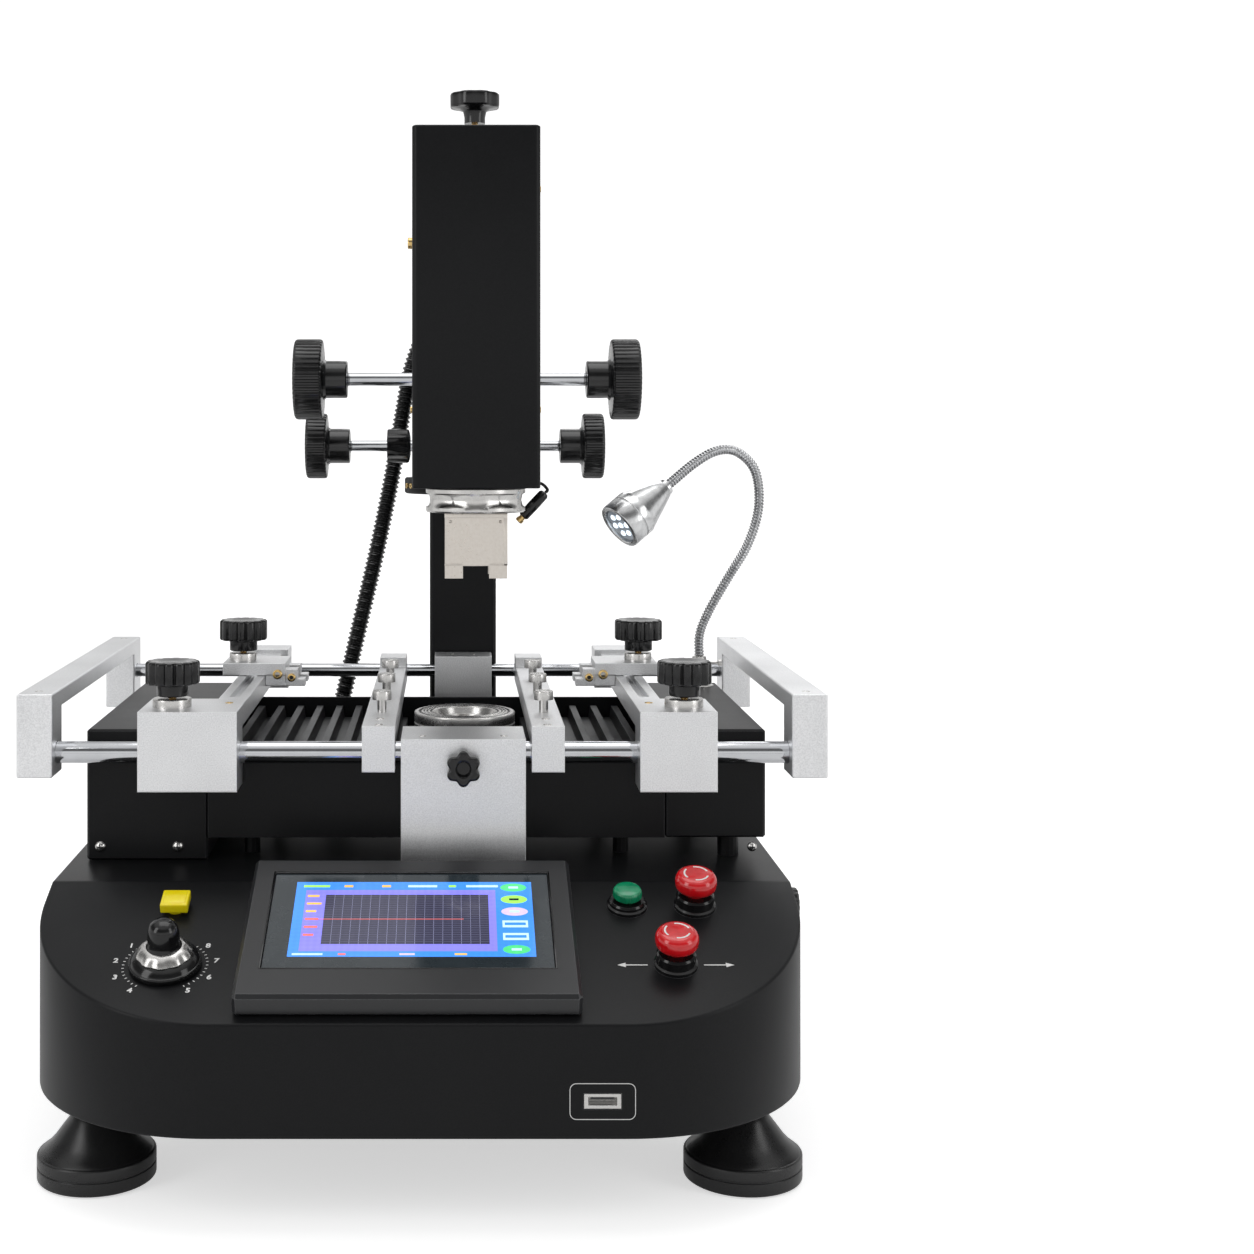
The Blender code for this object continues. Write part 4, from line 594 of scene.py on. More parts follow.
for star in ("left_front", "left_rear", "right_front", "right_rear"):
    low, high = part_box("star_knob_" + star)
    knob_low = high[2] - STAR_HEIGHT
    form = spin(bmesh.new(), star_rows(knob_low), STAR_FLUTES * 10, flutes(STAR_FLUTES))
    spin(form, stud_rows(low[2], knob_low - 0.0088), 20, skin=1)
    side, end = star.split("_")
    stand = Matrix.Translation(((low[0] + high[0]) / 2, (low[1] + high[1]) / 2, 0))
    piece("moulded_star_" + star, form, [gloss_black, brass], f"{side}_{end}_star",
          stand, stands_for=("star_knob_" + star,))
print("star knobs:", STAR_FLUTES, "flutes each")

# %% Handwheels with a silver disc let into the face
def wheel_rows(radius, face, hub_radius, hub_length):
    """From the outer face to the hub, along the wheel's own axis."""
    deep = 0.0013
    rows = [(0.0, face - 0.0052), (radius * 0.60, face - 0.0052), (radius * 0.64, face - 0.0040),
            (radius * 0.70, face - 0.0012)]
    rows += [(radius * 0.76, face), (radius * 0.86, face)]
    rows += [(r, z, deep * 0.7) for r, z in round_corner(radius, face, 0.0030)]
    rows += [(radius, face * 0.5, deep)]
    rows += [(r, z, deep) for r, z in round_corner(radius, 0.0, 0.0022, top=False)]
    rows += [(radius * 0.66, 0.0), (hub_radius + 0.0020, -0.0008), (hub_radius, -0.0030)]
    rows += [(hub_radius, -hub_length * 0.6)]
    rows += round_corner(hub_radius, -hub_length, 0.0014, top=False)
    rows += [(0.0070, -hub_length), (0.0070, -hub_length + 0.0008)]
    return rows


def inlay_rows(radius, face):
    rows = [(0.0, face + 0.0006), (radius * 0.30, face + 0.0006)]
    rows += [(radius * 0.32, face + 0.0003), (radius * 0.34, face + 0.0006)]
    rows += round_corner(radius * 0.585, face + 0.0006, 0.0006)
    rows += [(radius * 0.585, face - 0.0010), (0.0, face - 0.0010)]
    return rows


WHEELS = {"height": (0.0345, 0.024, 0.0160, 46), "reach": (0.0300, 0.019, 0.0160, 40)}
HUB_LENGTH = 0.021
for wheel, (radius, thick, hub, rib_count) in WHEELS.items():
    for side, way in (("left", -1), ("right", 1)):
        node = f"{wheel}_knob_{side}"
        low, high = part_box(node)
        inner_x = (low[0] if way < 0 else high[0]) - way * thick
        place = aim((inner_x, (low[1] + high[1]) / 2, (low[2] + high[2]) / 2), (way, 0, 0))
        form = spin(bmesh.new(), wheel_rows(radius, thick, hub, HUB_LENGTH), rib_count * 6,
                    ribs(rib_count))
        spin(form, inlay_rows(radius, thick - 0.0050), 56, skin=1)
        piece(f"moulded_{node}", form, [knob_black, turned_steel], f"{wheel}_wheel",
              place, stands_for=(node,))
print("handwheels:", list(WHEELS))

# %% The lock knob on top of the head
low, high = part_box("top_lock_knob")
TOP_RADIUS = 0.0215
TOP_THICK = 0.0125
cap = high[2]
rows = [(0.0, cap - 0.0012), (0.0100, cap - 0.0012), (0.0125, cap)]
rows += [(r, z, 0.0012) for r, z in round_corner(TOP_RADIUS, cap, 0.0024)]
rows += [(r, z, 0.0016) for r, z in round_corner(TOP_RADIUS, cap - TOP_THICK, 0.0020, top=False)]
rows += [(0.0130, cap - TOP_THICK - 0.0006), (0.0098, cap - TOP_THICK - 0.0030),
         (0.0088, cap - 0.0205), (0.0088, cap - 0.0255), (0.0, cap - 0.0255)]
form = spin(bmesh.new(), rows, 160, flutes(8, 1.6))
spin(form, stud_rows(low[2], cap - 0.0250), 20, skin=1)
stand = Matrix.Translation(((low[0] + high[0]) / 2, (low[1] + high[1]) / 2, 0))
piece("moulded_top_lock", form, [gloss_black, brass], "top_lock", stand,
      stands_for=("top_lock_knob",))

# %% The six-lobed lock knob in the centre block, and the one on the side of the base
low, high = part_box("centre_lock_knob")
LOCK_RADIUS = 0.0130
LOCK_THICK = 0.0130
rows = [(0.0, LOCK_THICK - 0.0045), (0.0045, LOCK_THICK - 0.0045), (0.0058, LOCK_THICK - 0.0005),
        (0.0072, LOCK_THICK)]
rows += [(r, z, 0.0026) for r, z in round_corner(LOCK_RADIUS, LOCK_THICK, 0.0022)]
rows += [(r, z, 0.0028) for r, z in round_corner(LOCK_RADIUS, 0.0, 0.0020, top=False)]
rows += [(0.0066, 0.0), (0.0066, -0.0004), (0.0038, -0.0005), (0.0038, -0.0054), (0.0, -0.0054)]
face_y = low[1] + LOCK_THICK
place = aim(((low[0] + high[0]) / 2, face_y, (low[2] + high[2]) / 2), (0, -1, 0))
piece("moulded_centre_lock", spin(bmesh.new(), rows, 120, flutes(6, 1.4)), gloss_black,
      "centre_lock", place, stands_for=("centre_lock_knob",))

low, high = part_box("side_knob")
SIDE_THICK = 0.009
rows = [(0.0, SIDE_THICK - 0.0006), (0.0060, SIDE_THICK - 0.0006), (0.0072, SIDE_THICK)]
rows += [(r, z, 0.0008) for r, z in round_corner(0.0120, SIDE_THICK, 0.0018)]
rows += [(r, z, 0.0010) for r, z in round_corner(0.0120, 0.0, 0.0012, top=False)]
rows += [(0.0060, 0.0), (0.0038, -0.0002), (0.0038, -0.0098), (0.0, -0.0098)]
place = aim((high[0] - SIDE_THICK, (low[1] + high[1]) / 2, (low[2] + high[2]) / 2), (1, 0, 0))
piece("moulded_side_lock", spin(bmesh.new(), rows, 112, ribs(14)), knob_black, "side_lock",
      place, stands_for=("side_knob",))
print("lock knobs made")

# %% [markdown]
# ## The base shell
# The base is one folded and welded steel housing with very round front corners. The frame
# holds it with ten flats to a corner, which would show as stripes under a soft box. The shell
# is built again from the same outline with many more steps, cut by the plane of the sloping
# panel, and then given a small bend radius along every sharp edge.

# %% Base outline and the panel's own frame
BASE_HALF = 0.262
BASE_FRONT, BASE_BACK = -0.330, 0.290
BASE_LOW, DECK = 0.059, 0.183
CREASE = -0.175
PANEL_FRONT = 0.131
CORNER = 0.130
CORNER_STEPS = 40
TILT = math.atan2(DECK - PANEL_FRONT, CREASE - BASE_FRONT)
PANEL = Matrix.Translation((0, CREASE, DECK)) @ Matrix.Rotation(TILT, 4, "X")


def on_panel(x, y, height=0.0):
    return PANEL @ Matrix.Translation((x, y, height))


def base_outline():
    points = [(BASE_HALF, BASE_BACK), (-BASE_HALF, BASE_BACK)]
    for side, first in ((-1, math.pi), (1, 1.5 * math.pi)):
        middle = (side * (BASE_HALF - CORNER), BASE_FRONT + CORNER)
        for step in range(CORNER_STEPS + 1):
            angle = first + 0.5 * math.pi * step / CORNER_STEPS
            points.append((middle[0] + CORNER * math.cos(angle),
                           middle[1] + CORNER * math.sin(angle)))
    return points


# %% Shell
def sharp_edges(bm, degrees):
    return [edge for edge in bm.edges
            if len(edge.link_faces) == 2 and edge.calc_face_angle() > math.radians(degrees)]


shell = bmesh.new()
floor = shell.faces.new([shell.verts.new((x, y, BASE_LOW)) for x, y in base_outline()])
raised = bmesh.ops.extrude_face_region(shell, geom=[floor])["geom"]
bmesh.ops.translate(shell, vec=(0, 0, DECK - BASE_LOW),
                    verts=[item for item in raised if isinstance(item, bmesh.types.BMVert)])
slope = (PANEL.to_3x3() @ Vector((0, 0, 1))).normalized()
whole = list(shell.verts) + list(shell.edges) + list(shell.faces)
cut = bmesh.ops.bisect_plane(shell, geom=whole, plane_co=(0, CREASE, DECK), plane_no=slope,
                             clear_outer=True)["geom_cut"]
bmesh.ops.holes_fill(shell, edges=[item for item in cut if isinstance(item, bmesh.types.BMEdge)])
bmesh.ops.remove_doubles(shell, verts=shell.verts, dist=0.00001)
bmesh.ops.recalc_face_normals(shell, faces=shell.faces)
bmesh.ops.bevel(shell, geom=sharp_edges(shell, 14), offset=0.0016, segments=3, profile=0.5,
                affect="EDGES", clamp_overlap=True)


def front_faces():
    return [face for face in shell.faces if face.normal.y < -0.999
            and face.calc_center_median().y < BASE_FRONT + 0.0001]


SOCKET_X, SOCKET_Z, SOCKET_DEEP = (0.104, 0.128), (0.078, 0.088), 0.0099
cuts = [((x, 0, 0), (1, 0, 0)) for x in SOCKET_X]
cuts += [((0, 0, z), (0, 0, 1)) for z in SOCKET_Z]
for point, normal in cuts:
    faces = front_faces()
    edges = {edge for face in faces for edge in face.edges}
    corners = {corner for face in faces for corner in face.verts}
    bmesh.ops.bisect_plane(shell, geom=[*corners, *edges, *faces], plane_co=point, plane_no=normal)
mouth = [face for face in front_faces()
         if SOCKET_X[0] < face.calc_center_median().x < SOCKET_X[1]
         and SOCKET_Z[0] < face.calc_center_median().z < SOCKET_Z[1]]
pressed = bmesh.ops.extrude_face_region(shell, geom=mouth)["geom"]
bmesh.ops.translate(shell, vec=(0, SOCKET_DEEP, 0),
                    verts=[item for item in pressed if isinstance(item, bmesh.types.BMVert)])
bmesh.ops.delete(shell, geom=[face for face in mouth if face.is_valid], context="FACES_ONLY")
print("socket pocket:", len(mouth), "face")
GLAND = (-0.090, 0.267)
spin(shell, [(0.0, 0.2031), (0.0100, 0.2031), (0.0112, 0.2015), (0.0122, 0.1900), (0.0160, 0.1895),
             (0.0160, 0.1835), (0.0, 0.1835)], 48, place=Matrix.Translation((*GLAND, 0)), skin=1)
for x, y, radius, high in ((0.190, -0.032, 0.0131, 0.0100), (0.169, -0.1005, 0.0131, 0.0100),
                           (0.143, -0.032, 0.0126, 0.0060)):
    collar = [(0.0064, high), (radius - 0.0012, high), (radius, high - 0.0012),
              (radius, 0.0030), (radius + 0.0014, 0.0022), (radius + 0.0014, 0.0001),
              (0.0064, 0.0001)]
    spin(shell, collar, 64, place=on_panel(x, y), skin=1)
# Dark strips across the back stand for vent slots: painted shade in their openings.
for side in (-1, 1):
    for row in range(5):
        z = 0.085 + row * 0.016
        block(shell, (side * 0.15 - 0.045, BASE_BACK - 0.002, z),
              (side * 0.15 + 0.045, BASE_BACK + 0.0002, z + 0.006), 0.0001, 1, skin=2)
piece("base_shell", shell, [powder_black, gloss_black, heat_black], "base",
      stands_for=("base_housing",))
print("base shell stands on z", BASE_LOW)

# %% [markdown]
# ## Screws
# Machined blocks are held by socket screws, and sheet steel by round-headed ones. They are
# small, but without them the machine reads as a toy. One function turns the head, and sinks
# a hexagon or a cross in it, painted dark as the shade in the recess. All screws of one body
# and one metal share a mesh.

# %% Screw heads
def socket_screw(bm, place, radius, height=None, skin=0, hole=1):
    """A cap screw: a short drum with a hexagonal socket, its floor painted dark as shade."""
    tall = height or radius * 0.9
    inner = radius * 0.52
    rows = [(inner, tall * 0.35), (inner, tall)]
    rows += round_corner(radius, tall, radius * 0.16, 3)
    rows += [(radius, 0.0)]
    spin(bm, rows, 24, place=place, skin=skin)
    # The dark hexagon on the socket's floor is painted shade in the recess.
    spin(bm, [(0.0, tall * 0.35), (inner * 1.02, tall * 0.35)], 6, place=place, skin=hole)
    return bm


def round_screw(bm, place, radius, skin=0, hole=1):
    """A domed screw with a cross cut in it, the cut painted dark as shade."""
    rows = [(0.0, radius * 0.62), (radius * 0.35, radius * 0.58), (radius * 0.72, radius * 0.40),
            (radius * 0.95, radius * 0.14), (radius, 0.0)]
    spin(bm, rows, 24, place=place, skin=skin)
    # The dark cross is painted shade in the cut.
    for turn in (0, 90):
        arm = place @ Matrix.Rotation(math.radians(turn), 4, "Z")
        block(bm, (-radius * 0.55, -radius * 0.09, radius * 0.30),
              (radius * 0.55, radius * 0.09, radius * 0.635), 0, 1, place=arm, skin=hole)
    return bm


def screw_set(name, body, looks, places, kind=socket_screw):
    """Screws of one body as one piece. Places are point, direction and radius."""
    bm = bmesh.new()
    for point, direction, radius in places:
        kind(bm, aim(point, direction), radius)
    return piece(name, bm, looks, body)


# The second material of each pair is painted shade for socket floors and cross cuts.
steel_and_recess_shade = [turned_steel, heat_black]
brass_and_recess_shade = [brass, heat_black]
low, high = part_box("side_housing_left")
rlow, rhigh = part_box("side_housing_right")
screw_set("housing_screws", "base", steel_and_recess_shade,
          [((low[0] + 0.010, low[1], low[2] + 0.010), (0, -1, 0), 0.0042),
           ((high[0] - 0.022, low[1], low[2] + 0.010), (0, -1, 0), 0.0042),
           ((rhigh[0] - 0.010, rlow[1], rlow[2] + 0.010), (0, -1, 0), 0.0036),
           ((low[0], -0.080, 0.205), (-1, 0, 0), 0.0038),
           ((low[0], 0.110, 0.205), (-1, 0, 0), 0.0038),
           ((rhigh[0], -0.080, 0.215), (1, 0, 0), 0.0038),
           ((rhigh[0], 0.110, 0.215), (1, 0, 0), 0.0038)],
          round_screw)
UP, HANDLE_FACE = (0, 0, 1), 0.295
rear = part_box("rear_block")[1][2]
table_tops = [((x, y, 0.3108), UP, 0.0034) for x in (-0.282, 0.282) for y in (-0.128, 0.220)]
table_tops += [((x, 0.217, rear), UP, 0.0022) for x in (0.022, 0.042)]
table_tops += [((x, -0.127, 0.278), UP, 0.003) for x in (0.0, 0.060)]
table_tops += [((side * HANDLE_FACE, -0.126, 0.266), (side, 0, 0), 0.0040) for side in (-1, 1)]
table_tops += [((side * HANDLE_FACE, 0.218, 0.282), (side, 0, 0), 0.0036) for side in (-1, 1)]


def sunk(bm, place, radius):
    """A screw in a counterbore, so only its ring and socket show."""
    return socket_screw(bm, place @ Matrix.Translation((0, 0, -radius * 0.2)), radius,
                        radius * 0.3)


screw_set("table_screws", "base", steel_and_recess_shade, table_tops, sunk)
print("screws on the base")

# %% [markdown]
# ## Controls
# The panel carries an air dial, four push buttons and a screen. The caps are glossy moulded
# plastic with softly rounded rims, so they are turned. The printed marks on the panel are
# thin flat shapes a tenth of a millimetre proud, because real print has a crisp edge that a
# texture would blur. Only plain marks and the dial's own numbers are drawn.

# %% Thin print
INK = 0.00012


def strip(bm, first, second, width, place, skin=0, lift=0.0):
    """A straight printed line between two points of a flat frame."""
    run = Vector((*second, 0)) - Vector((*first, 0))
    turn = Matrix.Rotation(math.atan2(run.y, run.x), 4, "Z")
    at = place @ Matrix.Translation((first[0], first[1], lift)) @ turn
    return block(bm, (0, -width / 2, 0), (run.length, width / 2, INK), 0, 1, at, skin)


def flat_shape(bm, points, place, skin=0, lift=0.0, thick=INK):
    """A thin plate from an outline."""
    low = [bm.verts.new(place @ Vector((x, y, lift))) for x, y in points]
    top = [bm.verts.new(place @ Vector((x, y, lift + thick))) for x, y in points]
    faces = [bm.faces.new(low[::-1]), bm.faces.new(top)]
    for index in range(len(points)):
        after = (index + 1) % len(points)
        faces.append(bm.faces.new((low[index], low[after], top[after], top[index])))
    for face in faces:
        face.material_index = skin
    return bm


def arc_shape(radius, width, start, sweep, steps=14):
    """Points of a band bent round a centre. Angles are in degrees."""
    turns = [math.radians(start + sweep * step / steps) for step in range(steps + 1)]
    outer = [(radius * math.cos(a), radius * math.sin(a)) for a in turns]
    inner = [((radius - width) * math.cos(a), (radius - width) * math.sin(a)) for a in turns]
    return outer + inner[::-1]


def digit(bm, text, size, place):
    """A printed number, from Blender's own plain font."""
    curve = bpy.data.curves.new("digit", "FONT")
    curve.body, curve.size, curve.extrude = text, size, INK / 2
    curve.align_x, curve.align_y = "CENTER", "CENTER"
    curve.resolution_u, curve.offset = 3, 0.00022
    holder = bpy.data.objects.new("digit", curve)
    bpy.context.scene.collection.objects.link(holder)
    ready = holder.evaluated_get(bpy.context.evaluated_depsgraph_get())
    mesh = bpy.data.meshes.new_from_object(ready)
    mesh.transform(place)
    bm.from_mesh(mesh)
    bpy.data.objects.remove(holder)
    return bm


# %% The air dial: skirt, ring with finger bumps, and a polished knob
DIAL = (-0.167, -0.1005)
form = spin(bmesh.new(), [(0.0, 0.010), (0.0150, 0.0100), (0.0180, 0.0090), (0.0215, 0.0066)]
            + round_corner(0.0240, 0.0046, 0.0012)
            + [(0.0240, 0.0014), (0.0234, 0.0005), (0.0039, 0.0005), (0.0039, -0.0098),
               (0.0, -0.0098)], 72)
spin(form, [(0.0118, 0.0150), (0.0132, 0.0148), (0.0160, 0.0130, 0.0006), (0.0180, 0.0108, 0.0010),
            (0.0188, 0.0096, 0.0008), (0.0170, 0.0092), (0.0118, 0.0092)], 120, flutes(10, 1.5),
     skin=1)
spin(form, [(0.0, 0.0340), (0.0030, 0.0338), (0.0060, 0.0328), (0.0084, 0.0308), (0.0098, 0.0280),
            (0.0105, 0.0245), (0.0106, 0.0190), (0.0104, 0.0165), (0.0112, 0.0150),
            (0.0118, 0.0140), (0.0118, 0.0094)], 72)
piece("turned_dial", form, [gloss_black, turned_steel], "dial",
      on_panel(*DIAL), stands_for=("flow_dial",))

marks_bm = bmesh.new()
DIAL_DIGITS = {"1": 140, "2": 172, "3": 204, "4": 236, "5": 304, "6": 336, "7": 8, "8": 40}
DIGIT_RING, TICK_INNER, TICK_OUTER = 0.0335, 0.0268, 0.0284
for text, degrees in DIAL_DIGITS.items():
    angle = math.radians(degrees)
    spot = (DIAL[0] + DIGIT_RING * math.cos(angle), DIAL[1] + DIGIT_RING * math.sin(angle))
    digit(marks_bm, text, 0.0066, on_panel(*spot, INK))
for degrees in [*range(140, 237, 8), *range(304, 409, 8)]:
    angle = math.radians(degrees)
    inner = (DIAL[0] + TICK_INNER * math.cos(angle), DIAL[1] + TICK_INNER * math.sin(angle))
    outer = (DIAL[0] + TICK_OUTER * math.cos(angle), DIAL[1] + TICK_OUTER * math.sin(angle))
    strip(marks_bm, inner, outer, 0.0006, on_panel(0, 0))
POWER_PLACE = (0.169, -0.1005)
for way in (-1, 1):
    near = POWER_PLACE[0] + way * 0.0185
    far = POWER_PLACE[0] + way * 0.0330
    strip(marks_bm, (near, POWER_PLACE[1]), (far, POWER_PLACE[1]), 0.0011, on_panel(0, 0))
    tip = POWER_PLACE[0] + way * 0.0385
    flat_shape(marks_bm, [(far, POWER_PLACE[1] - 0.0024), (tip, POWER_PLACE[1]),
                          (far, POWER_PLACE[1] + 0.0024)][::way], on_panel(0, 0))
piece("panel_marks", marks_bm, white_print, "base", smooth=False)

# %% Push buttons
CAP_LOW = 0.0145


def stop_cap(name, body, centre):
    top = CAP_LOW + 0.0118
    rows = [(0.0, top), (0.0096, top), (0.0112, top - 0.0004), (0.0128, top - 0.0015),
            (0.0140, top - 0.0034), (0.0145, top - 0.0058), (0.0143, CAP_LOW + 0.0028),
            (0.0136, CAP_LOW + 0.0010), (0.0124, CAP_LOW), (0.0059, CAP_LOW), (0.0059, -0.0129),
            (0.0, -0.0129)]
    bm = spin(bmesh.new(), rows, 72)
    for start in (20, 140, 260):
        flat_shape(bm, arc_shape(0.0088, 0.0012, start, 78), Matrix.Translation((0, 0, top)),
                   skin=1)
    piece(f"mushroom_{body}", bm, [red_gloss, white_print], body,
          on_panel(*centre), stands_for=(name,))


stop_cap("stop_button", "stop", (0.190, -0.032))
stop_cap("power_button", "power", POWER_PLACE)
low_z = 0.0085
rows = [(0.0, low_z + 0.0060), (0.0078, low_z + 0.0060), (0.0090, low_z + 0.0055),
        (0.0098, low_z + 0.0044, 0.0003), (0.0100, low_z + 0.0030, 0.0004),
        (0.0100, low_z, 0.0004), (0.0059, low_z), (0.0059, -0.0129), (0.0, -0.0129)]
piece("start_cap", spin(bmesh.new(), rows, 144, ribs(36)), green_gloss, "start",
      on_panel(0.143, -0.032), stands_for=("start_button",))
pad = block(bmesh.new(), (-0.0095, -0.0095, 0.0030), (0.0095, 0.0095, 0.0100), 0.0012, 4)
block(pad, (-0.0074, -0.0074, 0.0098), (0.0074, 0.0074, 0.01025), 0.0002, 2)
spin(pad, [(0.0059, 0.0032), (0.0059, -0.0098), (0.0, -0.0098)], 32)
piece("vacuum_cap", pad, yellow_gloss, "vacuum", on_panel(-0.169, -0.036),
      stands_for=("vacuum_button",))
print("dial and four buttons")

# %% [markdown]
# ## The screen
# The operator's screen shows a heating chart: a dark grid on a lilac field, a blue surround
# and a column of coloured touch keys. It is built as a stack of thin flat shapes that glow a
# little. Every glowing colour goes through the same group, which darkens it between the rows
# of pixels. The shapes are generic and carry no words.

# %% Pixel rows and glowing colours
pixels, start, end = new_group("pixel_rows", [("Pitch", 1400.0)], [("Light", "Float")])
where = pixels.nodes.new("ShaderNodeSeparateXYZ")
pixels.links.new(pixels.nodes.new("ShaderNodeTexCoord").outputs["Object"], where.inputs[0])
waves = []
for axis in ("X", "Y"):
    turn = maths(pixels, "MULTIPLY", where.outputs[axis], start.outputs["Pitch"])
    waves.append(maths(pixels, "SINE", turn, 0.0))
dip = maths(pixels, "MULTIPLY", maths(pixels, "ADD", waves[0], waves[1]), 0.06)
light = maths(pixels, "ADD", dip, 0.92)
slow = noise(pixels, pixels.nodes["Texture Coordinate"].outputs["Object"], 12.0, 2.0)
light = maths(pixels, "MULTIPLY", light, maths(pixels, "ADD", slow, 0.55))
pixels.links.new(light, end.inputs["Light"])


def glow(name, colour, strength=0.85):
    made = bpy.data.materials.new(name)
    made.use_nodes = True
    tree = made.node_tree
    shader = tree.nodes["Principled BSDF"]
    rows = call_group(tree, pixels)
    shade = mix(tree, rows.outputs["Light"], tuple(0.55 * part for part in colour), colour)
    tree.links.new(shade, shader.inputs["Emission Color"])
    tree.links.new(shade, shader.inputs["Base Color"])
    shader.inputs["Emission Strength"].default_value = strength
    shader.inputs["Roughness"].default_value = 0.14
    shader.inputs["Coat Weight"].default_value = 0.4
    return made


cover = finish("screen_cover", (0.026, 0.036, 0.043), (0.034, 0.045, 0.053), 0.0, 0.12, 0.02,
               90.0, 0.000002, coat=0.5, radius=0.0002)
screen_looks = [cover, glow("key_blue", (0.05, 0.25, 0.80)),
                glow("field_lilac", (0.22, 0.21, 0.82)),
                glow("chart_dark", (0.05, 0.05, 0.085), 0.5),
                glow("chart_line", (0.26, 0.27, 0.42)),
                glow("key_green", (0.08, 0.62, 0.22)), glow("key_lime", (0.35, 0.80, 0.12)),
                glow("key_lilac", (0.62, 0.50, 0.90)), glow("key_pale", (0.50, 0.72, 0.98)),
                glow("trace_amber", (0.85, 0.50, 0.10)), glow("trace_red", (0.80, 0.16, 0.14)),
                glow("chart_faint", (0.11, 0.11, 0.19), 0.6)]
COVER, BLUE, LILAC, DARK, LINE, GREEN, LIME, VIOLET, PALE, AMBER, RED, FAINT = range(12)

# %% Screen layers
SCREEN = on_panel(-0.0065, -0.0765)
DROP = 0.0026
panel_bm = block(bmesh.new(), (-0.0946, -0.0496, 0.0133), (0.0946, 0.0616, 0.0150), 0.0003, 2,
                 SCREEN, COVER)
LAYER = 0.00006


def patch(x0, y0, x1, y1, layer, skin):
    y0, y1 = y0 - DROP, y1 - DROP
    points = [(x0, y0), (x1, y0), (x1, y1), (x0, y1)]
    flat_shape(panel_bm, points, SCREEN, skin, 0.0150 + layer * LAYER, LAYER)


def oval(x, y, wide, tall, layer, skin):
    y -= DROP
    points = [(x + wide * math.cos(math.tau * k / 28), y + tall * math.sin(math.tau * k / 28))
              for k in range(28)]
    flat_shape(panel_bm, points, SCREEN, skin, 0.0150 + layer * LAYER, LAYER)


patch(-0.0790, -0.0340, 0.0830, 0.0540, 0, BLUE)
patch(-0.0720, -0.0280, 0.0580, 0.0440, 1, LILAC)
patch(-0.0580, -0.0200, 0.0530, 0.0380, 2, DARK)
for column in range(1, 18):
    x = -0.0580 + 0.1110 * column / 18
    patch(x - 0.00012, -0.0200, x + 0.00012, 0.0380, 3, LINE)
for row in range(1, 22):
    y = -0.0200 + 0.0580 * row / 22
    patch(-0.0580, y - 0.00020, 0.0530, y + 0.00020, 4, FAINT)
patch(-0.0640, 0.0082, 0.0360, 0.0087, 5, RED)
for index, (wide, skin) in enumerate(((0.008, AMBER), (0.010, AMBER), (0.007, AMBER), (0.009, RED),
                                      (0.009, RED), (0.007, RED))):
    y = 0.0365 - index * 0.0092
    patch(-0.0705, y - 0.0012, -0.0705 + wide, y + 0.0012, 2, skin)
for x, wide, skin in ((-0.0740, 0.018, LIME), (-0.0460, 0.006, AMBER), (-0.0200, 0.006, AMBER),
                      (-0.0020, 0.020, PALE), (0.0260, 0.005, LIME), (0.0380, 0.022, PALE)):
    patch(x, 0.0474, x + wide, 0.0500, 1, skin)
for x, wide, skin in ((-0.0760, 0.020, PALE), (-0.0460, 0.005, RED), (-0.0060, 0.010, VIOLET),
                      (0.0300, 0.008, AMBER)):
    patch(x, -0.0322, x + wide, -0.0302, 1, skin)
for index, skin in enumerate((GREEN, LIME, VIOLET, PALE, PALE, GREEN)):
    y = 0.0470 - index * 0.0146
    if skin == PALE:
        patch(0.0620, y - 0.0040, 0.0790, y + 0.0040, 1, skin)
        patch(0.0635, y - 0.0015, 0.0775, y + 0.0015, 2, BLUE)
    else:
        oval(0.0705, y, 0.0090, 0.0050, 1, skin)
        patch(0.0672, y - 0.0012, 0.0738, y + 0.0012, 2, COVER if skin == LIME else PALE)
piece("screen_picture", panel_bm, screen_looks, "base", smooth=False,
      stands_for=("screen_glass",))
inner = bmesh.new()
for x0, y0, x1, y1 in ((-0.0950, 0.0622, 0.0950, 0.0632), (-0.0950, -0.0512, 0.0950, -0.0502),
                       (-0.0960, -0.0512, -0.0950, 0.0632), (0.0950, -0.0512, 0.0960, 0.0632)):
    block(inner, (x0, y0, 0.0158), (x1, y1, 0.0163), 0.0002, 2, SCREEN)
piece("screen_lip", inner, gloss_black, "base")

# %% The data socket and its printed frame
usb = bmesh.new()
SOCKET_BEND = 0.004
wide, tall = 0.0205 - SOCKET_BEND, 0.0112 - SOCKET_BEND
corner_arc = []
for x, z, first in ((wide, tall, 0), (-wide, tall, 90), (-wide, -tall, 180), (wide, -tall, 270)):
    for step in range(7):
        angle = math.radians(first + 15 * step)
        corner_arc.append((x + SOCKET_BEND * math.cos(angle), z + SOCKET_BEND * math.sin(angle)))
face = Matrix.Translation((0.116, BASE_FRONT, 0.083)) @ Matrix.Rotation(math.pi / 2, 4, "X")
for index, spot in enumerate(corner_arc):
    after = corner_arc[(index + 1) % len(corner_arc)]
    strip(usb, spot, after, 0.00045, face)
block(usb, (0.1085, BASE_FRONT + 0.0015, 0.0838), (0.1235, BASE_FRONT + 0.0070, 0.0851), 0.0002, 1,
      skin=1)
piece("data_socket_marks", usb, [white_print, heat_black], "base", smooth=False)
print("screen and socket")

# %% [markdown]
# ## Rods, shafts and the turned parts of the head
# Polished rods carry the board table and the heating head. A mirror finish shows every flat,
# so the rods, the collar and the outlet flange are turned again with many more steps than
# the measured solids have. They keep the same radius and the same ends.

